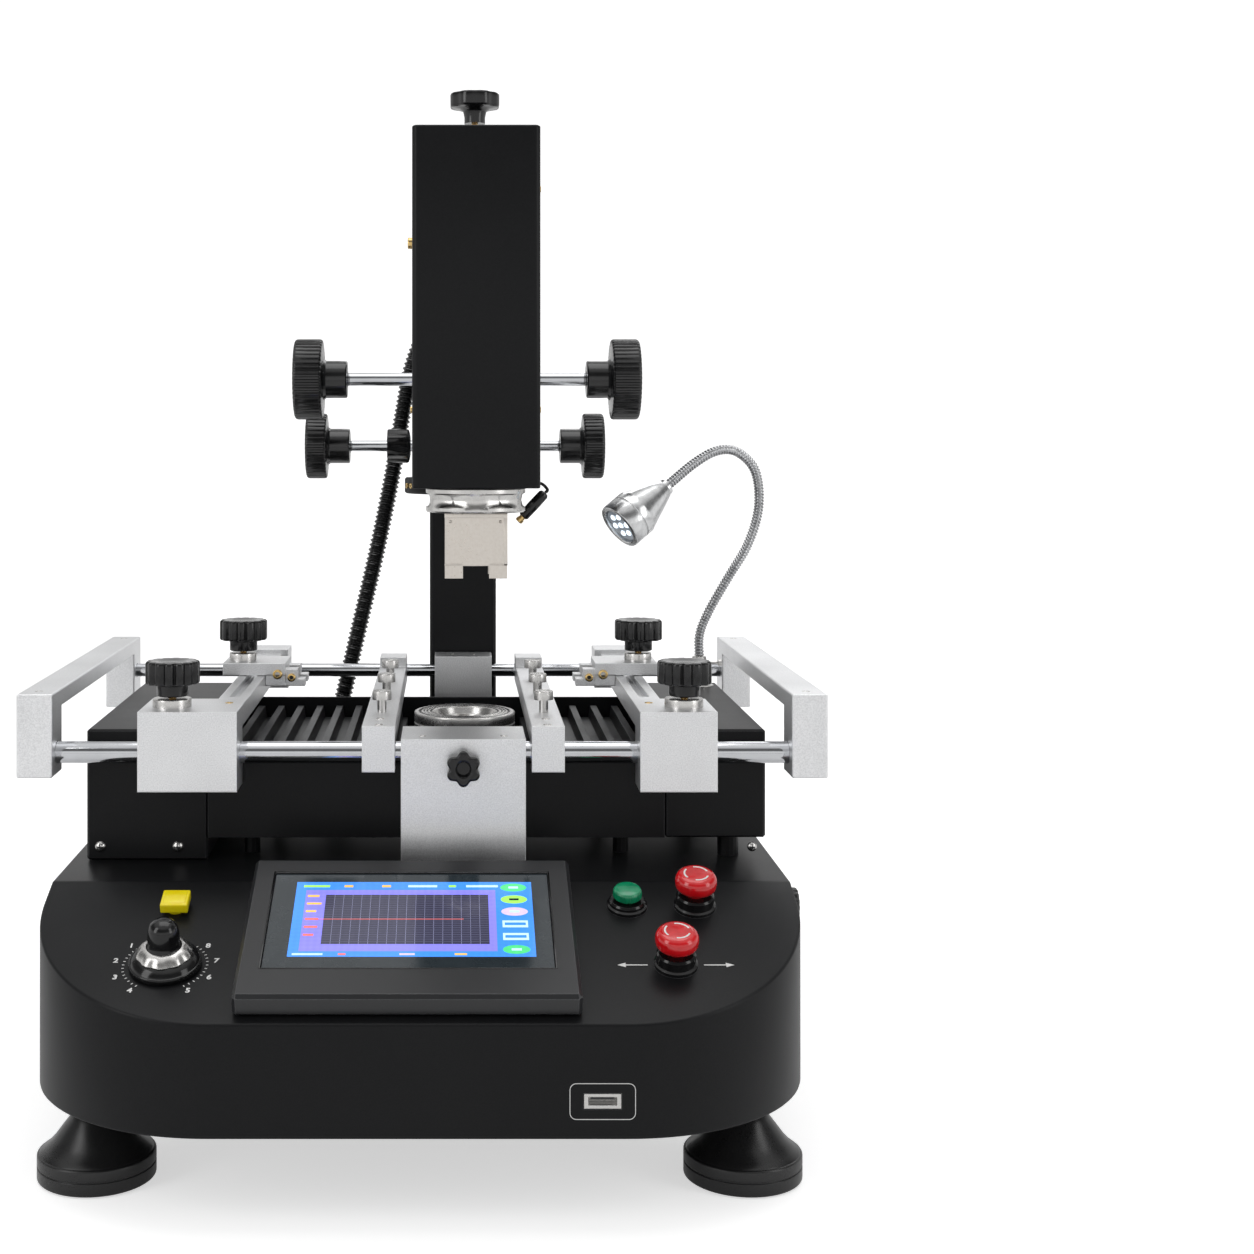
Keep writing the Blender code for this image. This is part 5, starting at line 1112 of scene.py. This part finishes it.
# %% Polished rods
def polished_bar(name, node, body, radius):
    """A rod along X in the place of a faceted one."""
    low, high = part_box(node)
    start = (low[0], (low[1] + high[1]) / 2, (low[2] + high[2]) / 2)
    length = high[0] - low[0]
    rows = [(0.0, length)] + round_corner(radius, length, 0.0006, 3)
    rows += [(radius, length * 0.5)] + round_corner(radius, 0.0, 0.0006, 3, top=False)
    rows += [(0.0, 0.0)]
    piece(name, spin(bmesh.new(), rows, 56), chrome, body,
          aim(start, (1, 0, 0)), stands_for=(node,))


polished_bar("polished_front_rod", "front_rod", "base", 0.0080)
polished_bar("polished_rear_rod", "rear_rod", "base", 0.0060)
polished_bar("polished_height_shaft", "height_shaft", "height_wheel", 0.0055)
polished_bar("polished_reach_shaft", "reach_shaft", "reach_wheel", 0.0050)
HEAD_X, AIR_Y = 0.041, 0.016
sleeves = bmesh.new()
for side in (-1, 1):
    spin(sleeves, [(0.0052, 0.6998), (0.0052, 0.4742)], 48,
         place=Matrix.Translation((HEAD_X + side * 0.022, 0.078, 0)))
piece("slide_rod_sleeves", sleeves, chrome, "head")

# %% Outlet flange, collar and elbow
rows = [(0.0, 0.4567), (0.0395, 0.4567), (0.0405, 0.4557), (0.0405, 0.4525),
        (0.0398, 0.4515, 0.0016), (0.0396, 0.4470, 0.0030), (0.0398, 0.4425, 0.0016),
        (0.0405, 0.4410), (0.0405, 0.4382), (0.0393, 0.4370), (0.0155, 0.4370),
        (0.0155, 0.4488), (0.0, 0.4488)]
piece("turned_flange", spin(bmesh.new(), rows, 120, flutes(6, 1.0)), turned_steel, "head",
      Matrix.Translation((HEAD_X, AIR_Y, 0)), stands_for=("head_flange",))
ARM_X, ARM_Y = 0.032, 0.264
rows = [(0.0165, 0.4681), (0.0440, 0.4681), (0.0450, 0.4671), (0.0450, 0.4592), (0.0536, 0.4590)]
rows += [(0.0550, 0.4576), (0.0550, 0.4454), (0.0536, 0.4441), (0.0165, 0.4441), (0.0165, 0.4681)]
piece("turned_collar", spin(bmesh.new(), rows, 96), powder_black, "swivel",
      Matrix.Translation((ARM_X, ARM_Y, 0)), stands_for=("swivel_collar",))
form = spin(bmesh.new(), [(0.0, 0.0407), (0.0106, 0.0407), (0.0125, 0.0392), (0.0125, 0.0330),
                          (0.0116, 0.0322), (0.0116, 0.0300), (0.0125, 0.0292), (0.0125, 0.0012),
                          (0.0138, 0.0008), (0.0138, 0.0001), (0.0, 0.0001)], 64,
            place=aim((HEAD_X, 0.0553, 0.728), (0, 1, 0)))
spin(form, [(0.0036, 0.7585), (0.0072, 0.7585), (0.0080, 0.7577), (0.0080, 0.7300)], 40,
     place=Matrix.Translation((HEAD_X, 0.075, 0)))
piece("conduit_elbow", form, gloss_black, "head", stands_for=("hose_elbow",))
print("turned parts in place")

# %% [markdown]
# ## The heating head
# The head is a folded sheet-steel cover, so its upright edges are bent round a radius of a
# few millimetres, while its top and bottom rims are nearly sharp. The cover starts as a
# rounded rectangle, goes up in one extrusion and gets a small bevel on its two rims.

# %% Head cover
low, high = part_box("head_housing")
BEND = 0.0045


def rounded_rectangle(low_x, low_y, high_x, high_y, radius, steps=6):
    points = []
    left, right = low_x + radius, high_x - radius
    near, far = low_y + radius, high_y - radius
    for x, y, first in ((right, far, 0), (left, far, 90), (left, near, 180), (right, near, 270)):
        for step in range(steps + 1):
            angle = math.radians(first + 90 * step / steps)
            points.append((x + radius * math.cos(angle), y + radius * math.sin(angle)))
    return points


cover_bm = bmesh.new()
outline = rounded_rectangle(low[0], low[1], high[0], high[1], BEND)
flat_shape(cover_bm, outline, Matrix(), lift=low[2], thick=high[2] - low[2])
bmesh.ops.recalc_face_normals(cover_bm, faces=cover_bm.faces)
bmesh.ops.bevel(cover_bm, geom=sharp_edges(cover_bm, 40), offset=0.0011, segments=3, profile=0.5,
                affect="EDGES", clamp_overlap=True)
lid = rounded_rectangle(low[0] + 0.0016, low[1] + 0.0016, high[0] - 0.0016, high[1] - 0.0016, 0.003)
flat_shape(cover_bm, lid, Matrix(), lift=high[2] - 0.0002, thick=0.0006)
piece("head_cover", cover_bm, powder_black, "head", stands_for=("head_housing",))
screw_set("head_screws", "head", brass_and_recess_shade,
          [((low[0], 0.012, 0.655), (-1, 0, 0), 0.0046),
           ((high[0], 0.020, 0.520), (1, 0, 0), 0.0026),
           ((high[0], 0.020, 0.700), (1, 0, 0), 0.0026),
           ((low[0], 0.020, 0.520), (-1, 0, 0), 0.0026)])

# %% Nozzle seams, and the heat probe with its black sleeve
nozzle_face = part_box("hot_air_nozzle")[0][1]
trim = bmesh.new()
for x0, x1, z0, z1, proud in ((0.0632, 0.0662, 0.3950, 0.4362, 0.0006),
                              (0.0158, 0.0304, 0.3948, 0.3962, 0.0006),
                              (0.0516, 0.0662, 0.3948, 0.3962, 0.0006),
                              (0.0158, 0.0662, 0.4330, 0.4365, 0.0007)):
    block(trim, (x0, nozzle_face - proud, z0), (x1, nozzle_face + 0.0002, z1), 0.0002, 2)
for x in (0.0205, 0.0605):
    round_screw(trim, aim((x, nozzle_face - 0.0006, 0.4300), (0, -1, 0)), 0.0012)
piece("nozzle_trim", trim, nickel, "nozzle")


def swept(bm, points, radius, sides=18, waves=None, step=0.001, skin=0):
    """A tube along points. The wave function changes its radius along the way."""
    spans = [0.0]
    for before, after in zip(points, points[1:]):
        spans.append(spans[-1] + (after - before).length)
    count = max(2, int(spans[-1] / step))
    path, index = [], 0
    for number in range(count + 1):
        reach = spans[-1] * number / count
        while index < len(spans) - 2 and spans[index + 1] < reach:
            index += 1
        share = (reach - spans[index]) / max(1e-9, spans[index + 1] - spans[index])
        path.append((points[index].lerp(points[index + 1], min(1.0, share)), reach))
    side = Vector((1, 0, 0.01)).normalized()
    rings = []
    for number, (spot, reach) in enumerate(path):
        ahead = path[min(number + 1, count)][0] - path[max(number - 1, 0)][0]
        ahead.normalize()
        side = (side - ahead * side.dot(ahead)).normalized()
        other = ahead.cross(side)
        size = radius - (waves(reach) if waves else 0.0)
        rings.append([bm.verts.new(spot + size * (math.cos(math.tau * k / sides) * side
                                                  + math.sin(math.tau * k / sides) * other))
                      for k in range(sides)])
    for above, below in zip(rings, rings[1:]):
        for k in range(sides):
            after = (k + 1) % sides
            bm.faces.new((above[k], below[k], below[after], above[after])).material_index = skin
    for ring in (rings[0][::-1], rings[-1]):
        bm.faces.new(ring).material_index = skin
    return bm


def smooth_route(points, count):
    """A smooth curve through the route's own points."""
    path = [Vector(point) for point in points]
    padded = [2 * path[0] - path[1]] + path + [2 * path[-1] - path[-2]]
    out = []
    for step in range(count + 1):
        place = step / count * (len(path) - 1)
        index = min(int(place), len(path) - 2)
        t = place - index
        before, start, end, after = padded[index:index + 4]
        out.append(0.5 * (2 * start + (end - before) * t
                          + (2 * before - 5 * start + 4 * end - after) * t * t
                          + (3 * start - before - 3 * end + after) * t ** 3))
    return out


probe = bmesh.new()
PROBE_LOW, PROBE_HIGH = Vector((0.0800, 0.034, 0.4320)), Vector((0.0985, 0.034, 0.4520))
run = PROBE_HIGH - PROBE_LOW
spin(probe, [(0.0, run.length), (0.0030, run.length - 0.0004), (0.0044, run.length - 0.0022),
             (0.0046, run.length * 0.5), (0.0044, 0.0016), (0.0034, 0.0), (0.0, 0.0)], 32,
     place=aim(PROBE_LOW, run))
spin(probe, [(0.0026, 0.0012), (0.0026, -0.0020), (0.0032, -0.0022), (0.0032, -0.0050),
             (0.0020, -0.0056), (0.0, -0.0056)], 20, place=aim(PROBE_LOW, run), skin=1)
swept(probe, smooth_route([PROBE_HIGH, PROBE_HIGH + run.normalized() * 0.003,
                           Vector((0.0960, 0.036, 0.4590)), Vector((0.0900, 0.038, 0.4600))], 30),
      0.0013, 12)
piece("heat_probe", probe, [gloss_black, brass], "head")
print("head dressed")

# %% [markdown]
# ## The corrugated conduit
# A glossy plastic conduit leads the head's wires down to the base. It is held at both ends,
# and it crosses three joints: the head's slide, the arm's slide and the swivel. One mesh can
# bend between two bodies only, so the conduit is made in three lengths that meet where the
# bodies carry it fully. The folds are true geometry, with a crest every few millimetres.

# %% Conduit route and folds
ROUTE = ((0.041, 0.0966, 0.7280), (0.041, 0.1000, 0.7280), (0.041, 0.1045, 0.7275),
         (0.041, 0.1120, 0.7220), (0.040, 0.1240, 0.7030), (0.038, 0.1400, 0.6680),
         (0.035, 0.1650, 0.6300), (0.032, 0.2000, 0.6060), (0.028, 0.2450, 0.5985),
         (0.010, 0.2920, 0.6030), (-0.006, 0.3020, 0.5920), (-0.018, 0.3040, 0.5620),
         (-0.026, 0.3010, 0.5200), (-0.036, 0.2940, 0.4600), (-0.050, 0.2860, 0.3900),
         (-0.066, 0.2780, 0.3200), (-0.083, 0.2690, 0.2450), (-0.090, 0.2670, 0.2150),
         (-0.090, 0.2670, 0.2040))
CONDUIT_RADIUS = 0.0086
FOLD, FOLD_DEEP = 0.0046, 0.0021
DENSE = 40
whole = smooth_route(ROUTE, DENSE * (len(ROUTE) - 1))


def folds(reach):
    """How far the conduit's wall lies below its crests."""
    wave = 0.5 + 0.5 * math.cos(math.tau * reach / FOLD)
    return FOLD_DEEP * wave ** 0.8


def conduit(name, first, last):
    """One length of the conduit, between two places counted in points of the route."""
    points = whole[int(first * DENSE):int(last * DENSE) + 1]
    length = sum((b - a).length for a, b in zip(points, points[1:]))
    trimmed = length / round(length / FOLD)
    bm = swept(bmesh.new(), points, CONDUIT_RADIUS, 20,
               lambda reach: folds(reach * FOLD / trimmed), 0.0007)
    made = piece(name, bm, hose_black, None, stands_for=("head_conduit",))
    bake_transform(made)
    return length


ON_BEAM, ON_COLUMN, AT_GLAND = 7.5, 14, 18
total = conduit("conduit_upper", 0, ON_BEAM)
total += conduit("conduit_middle", ON_BEAM, ON_COLUMN)
total += conduit("conduit_lower", ON_COLUMN, AT_GLAND)
print("conduit:", round(total, 3), "m in three lengths")

# %% [markdown]
# ## The work lamp
# The gooseneck is a spiral steel hose, so it gets fine rings in bright metal. The shade is a
# turned aluminium cone with a straight head, and seven small white lights sit behind a clear
# front. It leans in over the board, and its socket turns on the post.

# %% Gooseneck, shade and lights
LAMP_ROUTE = ((0.238, 0.128, 0.3060), (0.2385, 0.128, 0.3250), (0.246, 0.126, 0.3450),
              (0.262, 0.120, 0.3750), (0.278, 0.111, 0.4050), (0.286, 0.104, 0.4370),
              (0.282, 0.097, 0.4680), (0.266, 0.090, 0.4845), (0.248, 0.084, 0.4860),
              (0.228, 0.077, 0.4760), (0.2030, 0.0652, 0.4568))
NECK_RING, NECK_DEEP = 0.0027, 0.0011
neck_line = smooth_route(LAMP_ROUTE, 320)
neck = swept(bmesh.new(), neck_line, 0.0043, 18,
             lambda reach: NECK_DEEP * (0.5 + 0.5 * math.cos(math.tau * reach / NECK_RING)) ** 2,
             0.00045)
piece("lamp_gooseneck", neck, spiral, "lamp", stands_for=("lamp_neck",))
cad_line = smooth_route(LAMP_ROUTE, 32)
heading = (cad_line[-1] - cad_line[-2]).normalized()
shade_place = aim(cad_line[-1] + heading * 0.0006, heading)
rows = [(0.0, 0.0), (0.0064, 0.0), (0.0072, 0.0008), (0.0072, 0.0034), (0.0080, 0.0042),
        (0.0118, 0.0140), (0.0165, 0.0270), (0.0196, 0.0352), (0.0204, 0.0368), (0.0204, 0.0436),
        (0.0199, 0.0440), (0.0199, 0.0448), (0.0204, 0.0452), (0.0205, 0.0562), (0.0199, 0.0575),
        (0.0188, 0.0579), (0.0168, 0.0579), (0.0160, 0.0572), (0.0158, 0.0540), (0.0, 0.0540)]
piece("lamp_cone", spin(bmesh.new(), rows, 80), satin, "lamp", shade_place,
      stands_for=("lamp_shade",))
led = glow("lamp_light", (0.80, 0.90, 1.0), 1.6)
lens = finish("lamp_lens", (0.55, 0.62, 0.70), (0.66, 0.72, 0.80), 0.0, 0.10, 0.02, 120.0,
              0.000004, coat=0.6, radius=0.0002)
LENS_FACE, LIGHT_RING, RING_LIGHTS = 0.0552, 0.0092, 6
lights = spin(bmesh.new(), [(0.0, LENS_FACE), (0.0152, LENS_FACE), (0.0156, 0.0548),
                            (0.0156, 0.0541)], 56, place=shade_place, skin=1)
for number in range(RING_LIGHTS + 1):
    angle = math.tau * number / RING_LIGHTS
    reach = 0.0 if number == RING_LIGHTS else LIGHT_RING
    spot = (reach * math.cos(angle), reach * math.sin(angle), 0.0551)
    at = shade_place @ Matrix.Translation(spot)
    spin(lights, [(0.0, 0.0019), (0.0014, 0.0016), (0.0024, 0.0008), (0.0027, 0.0)], 20, place=at)
piece("lamp_lights", lights, [led, lens], "lamp")
screw = bmesh.new()
post = (0.238, 0.128)
spin(screw, [(0.0, 0.0045), (0.0070, 0.0045), (0.0080, 0.0036), (0.0080, 0.0010), (0.0075, 0.0004)],
     40, place=Matrix.Translation((*post, 0.2925)))
spin(screw, [(0.0, 0.0200), (0.0024, 0.0200), (0.0028, 0.0196), (0.0028, 0.0165), (0.0012, 0.0160),
             (0.0012, 0.0060)], 24, place=aim((*post, 0.3000), (1, 0, 0)))
piece("lamp_socket_screw", screw, turned_steel, "lamp")
spin_post = bmesh.new()
spin(spin_post, [(0.0, 0.2922), (0.0085, 0.2922), (0.0092, 0.2915), (0.0092, 0.2812),
                 (0.0125, 0.2810), (0.0125, 0.2805)], 48, place=Matrix.Translation((*post, 0)))
piece("lamp_post_cover", spin_post, turned_steel, "base")
print("lamp:", RING_LIGHTS + 1, "lights")

# %% [markdown]
# ## The lower hot air nozzle
# Under the board sits a turned steel dish with a ring of small air holes, and a brass
# thermocouple screw in the middle. It was made on a lathe, so fine rings run round its rim.
# The dish is one profile, and the holes are small dark cups just under its floor: painted
# shade that stands for the openings.

# %% Lower nozzle
low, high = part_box("lower_nozzle")
nozzle_x, nozzle_y, nozzle_top = (low[0] + high[0]) / 2, (low[1] + high[1]) / 2, high[2]
dish = bmesh.new()
rows = [(0.0042, -0.0102), (0.0090, -0.0102), (0.0094, -0.0097), (0.0148, -0.0097),
        (0.0152, -0.0102), (0.0188, -0.0102), (0.0190, -0.0098), (0.0236, -0.0064),
        (0.0240, -0.0058), (0.0256, -0.0014), (0.0262, -0.0004), (0.0268, 0.0)]
for groove in (0.0300, 0.0325, 0.0350):
    rows += [(groove - 0.0004, 0.0), (groove, -0.0003), (groove + 0.0004, 0.0)]
rows += round_corner(0.0410, 0.0, 0.0014, 4)
rows += [(0.0410, -0.0070), (0.0404, -0.0075), (0.0404, -0.0085), (0.0410, -0.0090)]
rows += round_corner(0.0410, -0.0218, 0.0010, 3, top=False)
rows += [(0.0222, -0.0219), (0.0220, -0.0225), (0.0220, low[2] - nozzle_top)]
spin(dish, rows, 96, place=Matrix.Translation((nozzle_x, nozzle_y, nozzle_top)))
holes = [(0.0119, 0.0022, 6, 0.0), (0.0214, 0.0012, 8, 22.5)]
for ring, radius, count, turn in holes:
    for number in range(count):
        angle = math.tau * number / count + math.radians(turn)
        level = nozzle_top - (0.0096 if ring < 0.02 else 0.0078)
        spot = (nozzle_x + ring * math.cos(angle), nozzle_y + ring * math.sin(angle), level)
        # A dark cup for each air hole: painted shade in the opening.
        spin(dish, [(0.0, 0.0004), (radius, 0.0004), (radius * 1.1, 0.0)], 18,
             place=Matrix.Translation(spot), skin=1)
centre = Matrix.Translation((nozzle_x, nozzle_y, nozzle_top))
spin(dish, [(0.0, -0.0068), (0.0016, -0.0068), (0.0020, -0.0072), (0.0020, -0.0080),
            (0.0040, -0.0082), (0.0044, -0.0086), (0.0044, -0.0103)], 6, place=centre, skin=2)
piece("dish_nozzle", dish, [turned_steel, heat_black, brass], "base",
      stands_for=("lower_nozzle",))
print("lower nozzle:", sum(row[2] for row in holes), "air holes")

# %% [markdown]
# ## Lock collars, seats and small screws
# The work table is held together by many small fasteners that catch the light: seat rings
# under the star knobs, pins in the support bars and cap screws in every block. None of them
# moves by itself, so each set is one mesh that rides on the body that carries it.

# %% Arm locks and cap screws
def lobes(count, depth):
    """A rounded lobe pattern for a small plastic knob."""
    return lambda angle: depth * (0.5 - 0.5 * math.cos(count * angle)) ** 0.7


lock = bmesh.new()
lock_rows = [(0.0056, 0.0), (0.0150, 0.0006, 0.4), (0.0156, 0.0020, 1.0), (0.0156, 0.0190, 1.0),
             (0.0148, 0.0204, 0.8), (0.0125, 0.0212, 0.2), (0.0080, 0.0220), (0.0056, 0.0220)]
spin(lock, lock_rows, 72, lobes(6, 0.0024), aim((-0.0385, 0.220, 0.489), (1, 0, 0)))
piece("reach_lock_collar", lock, gloss_black, "swivel")
rear_lock = bmesh.new()
place = aim((0.032, 0.292, 0.4860), (0, 1, 0))
spin(rear_lock, [(0.0, 0.0235), (0.0070, 0.0235), (0.0105, 0.0226), (0.0150, 0.0214, 0.6),
                 (0.0160, 0.0200, 1.0), (0.0160, 0.0100, 1.0), (0.0150, 0.0086, 0.6),
                 (0.0085, 0.0076), (0.0070, 0.0060), (0.0070, 0.0)], 72, lobes(6, 0.0034), place)
piece("rear_arm_lock", rear_lock, gloss_black, "swivel")
saddle_low, saddle_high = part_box("arm_saddle")
collar_low, collar_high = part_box("swivel_collar")
COLLAR_MIDDLE, COLLAR_WALL = 0.4515, 0.0548
collar = Vector(((collar_low[0] + collar_high[0]) / 2, (collar_low[1] + collar_high[1]) / 2,
                 COLLAR_MIDDLE))
outward = [Vector((math.cos(a), math.sin(a), 0))
           for a in (math.radians(degrees) for degrees in (-150, -30, 90, 200))]
ring = [(collar + COLLAR_WALL * way, way, 0.0024) for way in outward]
screw_set("collar_screws", "swivel", brass_and_recess_shade, ring)
cap_low, cap_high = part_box("arm_end_cap")
middle = (cap_low[0] + cap_high[0]) / 2
screw_set("end_cap_screws", "arm", steel_and_recess_shade,
          [((middle, cap_high[1], 0.545), (0, 1, 0), 0.0052),
           ((middle - 0.018, cap_high[1], 0.571), (0, 1, 0), 0.0030),
           ((middle + 0.018, cap_high[1], 0.571), (0, 1, 0), 0.0030),
           ((middle - 0.018, cap_high[1], 0.519), (0, 1, 0), 0.0030),
           ((middle + 0.018, cap_high[1], 0.519), (0, 1, 0), 0.0030)])
sides = [((x, y, z), (side, 0, 0), 0.0028)
         for x, side in ((saddle_low[0], -1), (saddle_high[0], 1))
         for y, z in ((saddle_low[1] + 0.012, 0.528), (saddle_high[1] - 0.012, 0.528))]
screw_set("saddle_screws", "swivel", steel_and_recess_shade, sides)
print("arm locks and cap screws")

# %% Seats under the star knobs and pins in the bars
def seat_ring(bm, x, y, low, top, radius, hole):
    rows = [(hole, low), (hole, top)] + round_corner(radius, top, 0.0006, 3) + [(radius, low)]
    return spin(bm, rows, 48, place=Matrix.Translation((x, y, 0)))


STUD_HOLE = 0.0033
for side, carriage_x, clamp_x in (("left", -0.185, -0.155), ("right", 0.193, 0.179)):
    seat = seat_ring(bmesh.new(), carriage_x, -0.122, 0.2989, 0.3053, 0.0143, STUD_HOLE)
    piece(f"front_seat_{side}", seat, turned_steel, f"{side}_carriage")
    seat = seat_ring(bmesh.new(), clamp_x, 0.075, 0.3092, 0.3155, 0.0114, STUD_HOLE)
    piece(f"clamp_seat_{side}", seat, turned_steel, f"{side}_clamp")
    low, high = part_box(f"support_bar_{side}")
    bar_x = (low[0] + high[0]) / 2
    pins = bmesh.new()
    for y in (-0.070, 0.030, 0.120):
        spot = Matrix.Translation((bar_x, y, 0))
        spin(pins, [(0.0, 0.3032), (0.0028, 0.3032), (0.0030, 0.3026), (0.0044, 0.3026),
                    (0.0046, 0.3034)] + round_corner(0.0073, 0.3035, 0.0006, 3)
             + [(0.0073, 0.2968), (0.0035, 0.2966), (0.0035, 0.2868)], 36, place=spot)
    for y in (-0.132, -0.104, 0.205, 0.225):
        sunk(pins, Matrix.Translation((bar_x, y, 0.2871)), 0.0034)
    piece(f"bar_pins_{side}", pins, steel_and_recess_shade, f"{side}_bar")
print("seat rings and pins")

# %% Screws of the clamps and carriages
for side, jaw_x, rail_x, inward in (("left", -0.117, -0.145, 1), ("right", 0.141, 0.169, -1)):
    jaw_screws = bmesh.new()
    for y in (0.0530, 0.0830):
        socket_screw(jaw_screws, aim((jaw_x + inward * 0.005, y, 0.2972), (0, -1, 0)), 0.0034)
    socket_screw(jaw_screws, aim((jaw_x - inward * 0.0065, 0.052, 0.3000), (0, -1, 0)), 0.0040)
    for y in (0.0625, 0.0875):
        sunk(jaw_screws, Matrix.Translation((jaw_x - inward * 0.0060, y, 0.3084)), 0.0032)
    piece(f"jaw_screws_{side}", jaw_screws, brass_and_recess_shade, f"{side}_clamp")
    rail_screws = bmesh.new()
    for y in (-0.104, 0.228):
        sunk(rail_screws, Matrix.Translation((rail_x, y, 0.2991)), 0.0032)
    piece(f"rail_screws_{side}", rail_screws, brass_and_recess_shade, f"{side}_carriage")
print("clamp and carriage screws")

# %% [markdown]
# ## Louvres in the sides
# Cooling air enters the base through pressed slots. Each slot is a long blister with one
# open edge. It bulges a few millimetres out of the steel, and under its lower lip a dark
# sheet stands for the inside: painted shade in the opening. A stadium grid that swells by a
# cosine gives the soft pressed shape.

# %% Pressed slots
def louvre(bm, place, length, width, swell, across=10, along=24):
    """A pressed slot on the XY plane of its place, with its open edge along -Y."""
    half = length / 2 - width / 2
    # A dark sheet under the lip stands for the opening into the base: painted shade.
    inside = ((-half, -0.30), (half, -0.30), (half, -0.56), (-half, -0.56))
    dark = [bm.verts.new(place @ Vector((x, share * width, swell * 0.10))) for x, share in inside]
    bm.faces.new(dark).material_index = 1
    rows = []
    for i in range(along + 1):
        u = -1 + 2 * i / along
        row = []
        for j in range(across + 1):
            v = -1 + 2 * j / across
            round_end = math.sqrt(max(0.0, 1 - v * v))
            x = u * (half + width / 2 * round_end)
            y = v * width / 2
            rise = (swell * math.sin(math.pi / 2 * min(1.0, 2.2 * (1 - abs(u))))
                    * math.cos(math.pi / 2 * max(-0.25, v)))
            if v <= -0.999:
                rise = max(0.00005, rise * 0.82)
            row.append(bm.verts.new(place @ Vector((x, y, 0.00005 + rise))))
        rows.append(row)
    for one, two in zip(rows, rows[1:]):
        for j in range(across):
            bm.faces.new((one[j], two[j], two[j + 1], one[j + 1]))
    return bm


SLOT_LEVELS, SLOT_PLACES = (0.088, 0.112, 0.136), (-0.020, 0.105)
side_slots = bmesh.new()
for side in (-1, 1):
    for level in SLOT_LEVELS:
        for y in SLOT_PLACES:
            stand = Matrix.Translation((side * BASE_HALF, y, level)) \
                @ Matrix.Rotation(side * math.pi / 2, 4, "Z") @ Matrix.Rotation(math.pi / 2, 4, "X")
            louvre(side_slots, stand, 0.085, 0.014, 0.0045)
piece("side_louvres", side_slots, [powder_black, heat_black], "base")
print("louvres:", 2 * len(SLOT_LEVELS) * len(SLOT_PLACES))
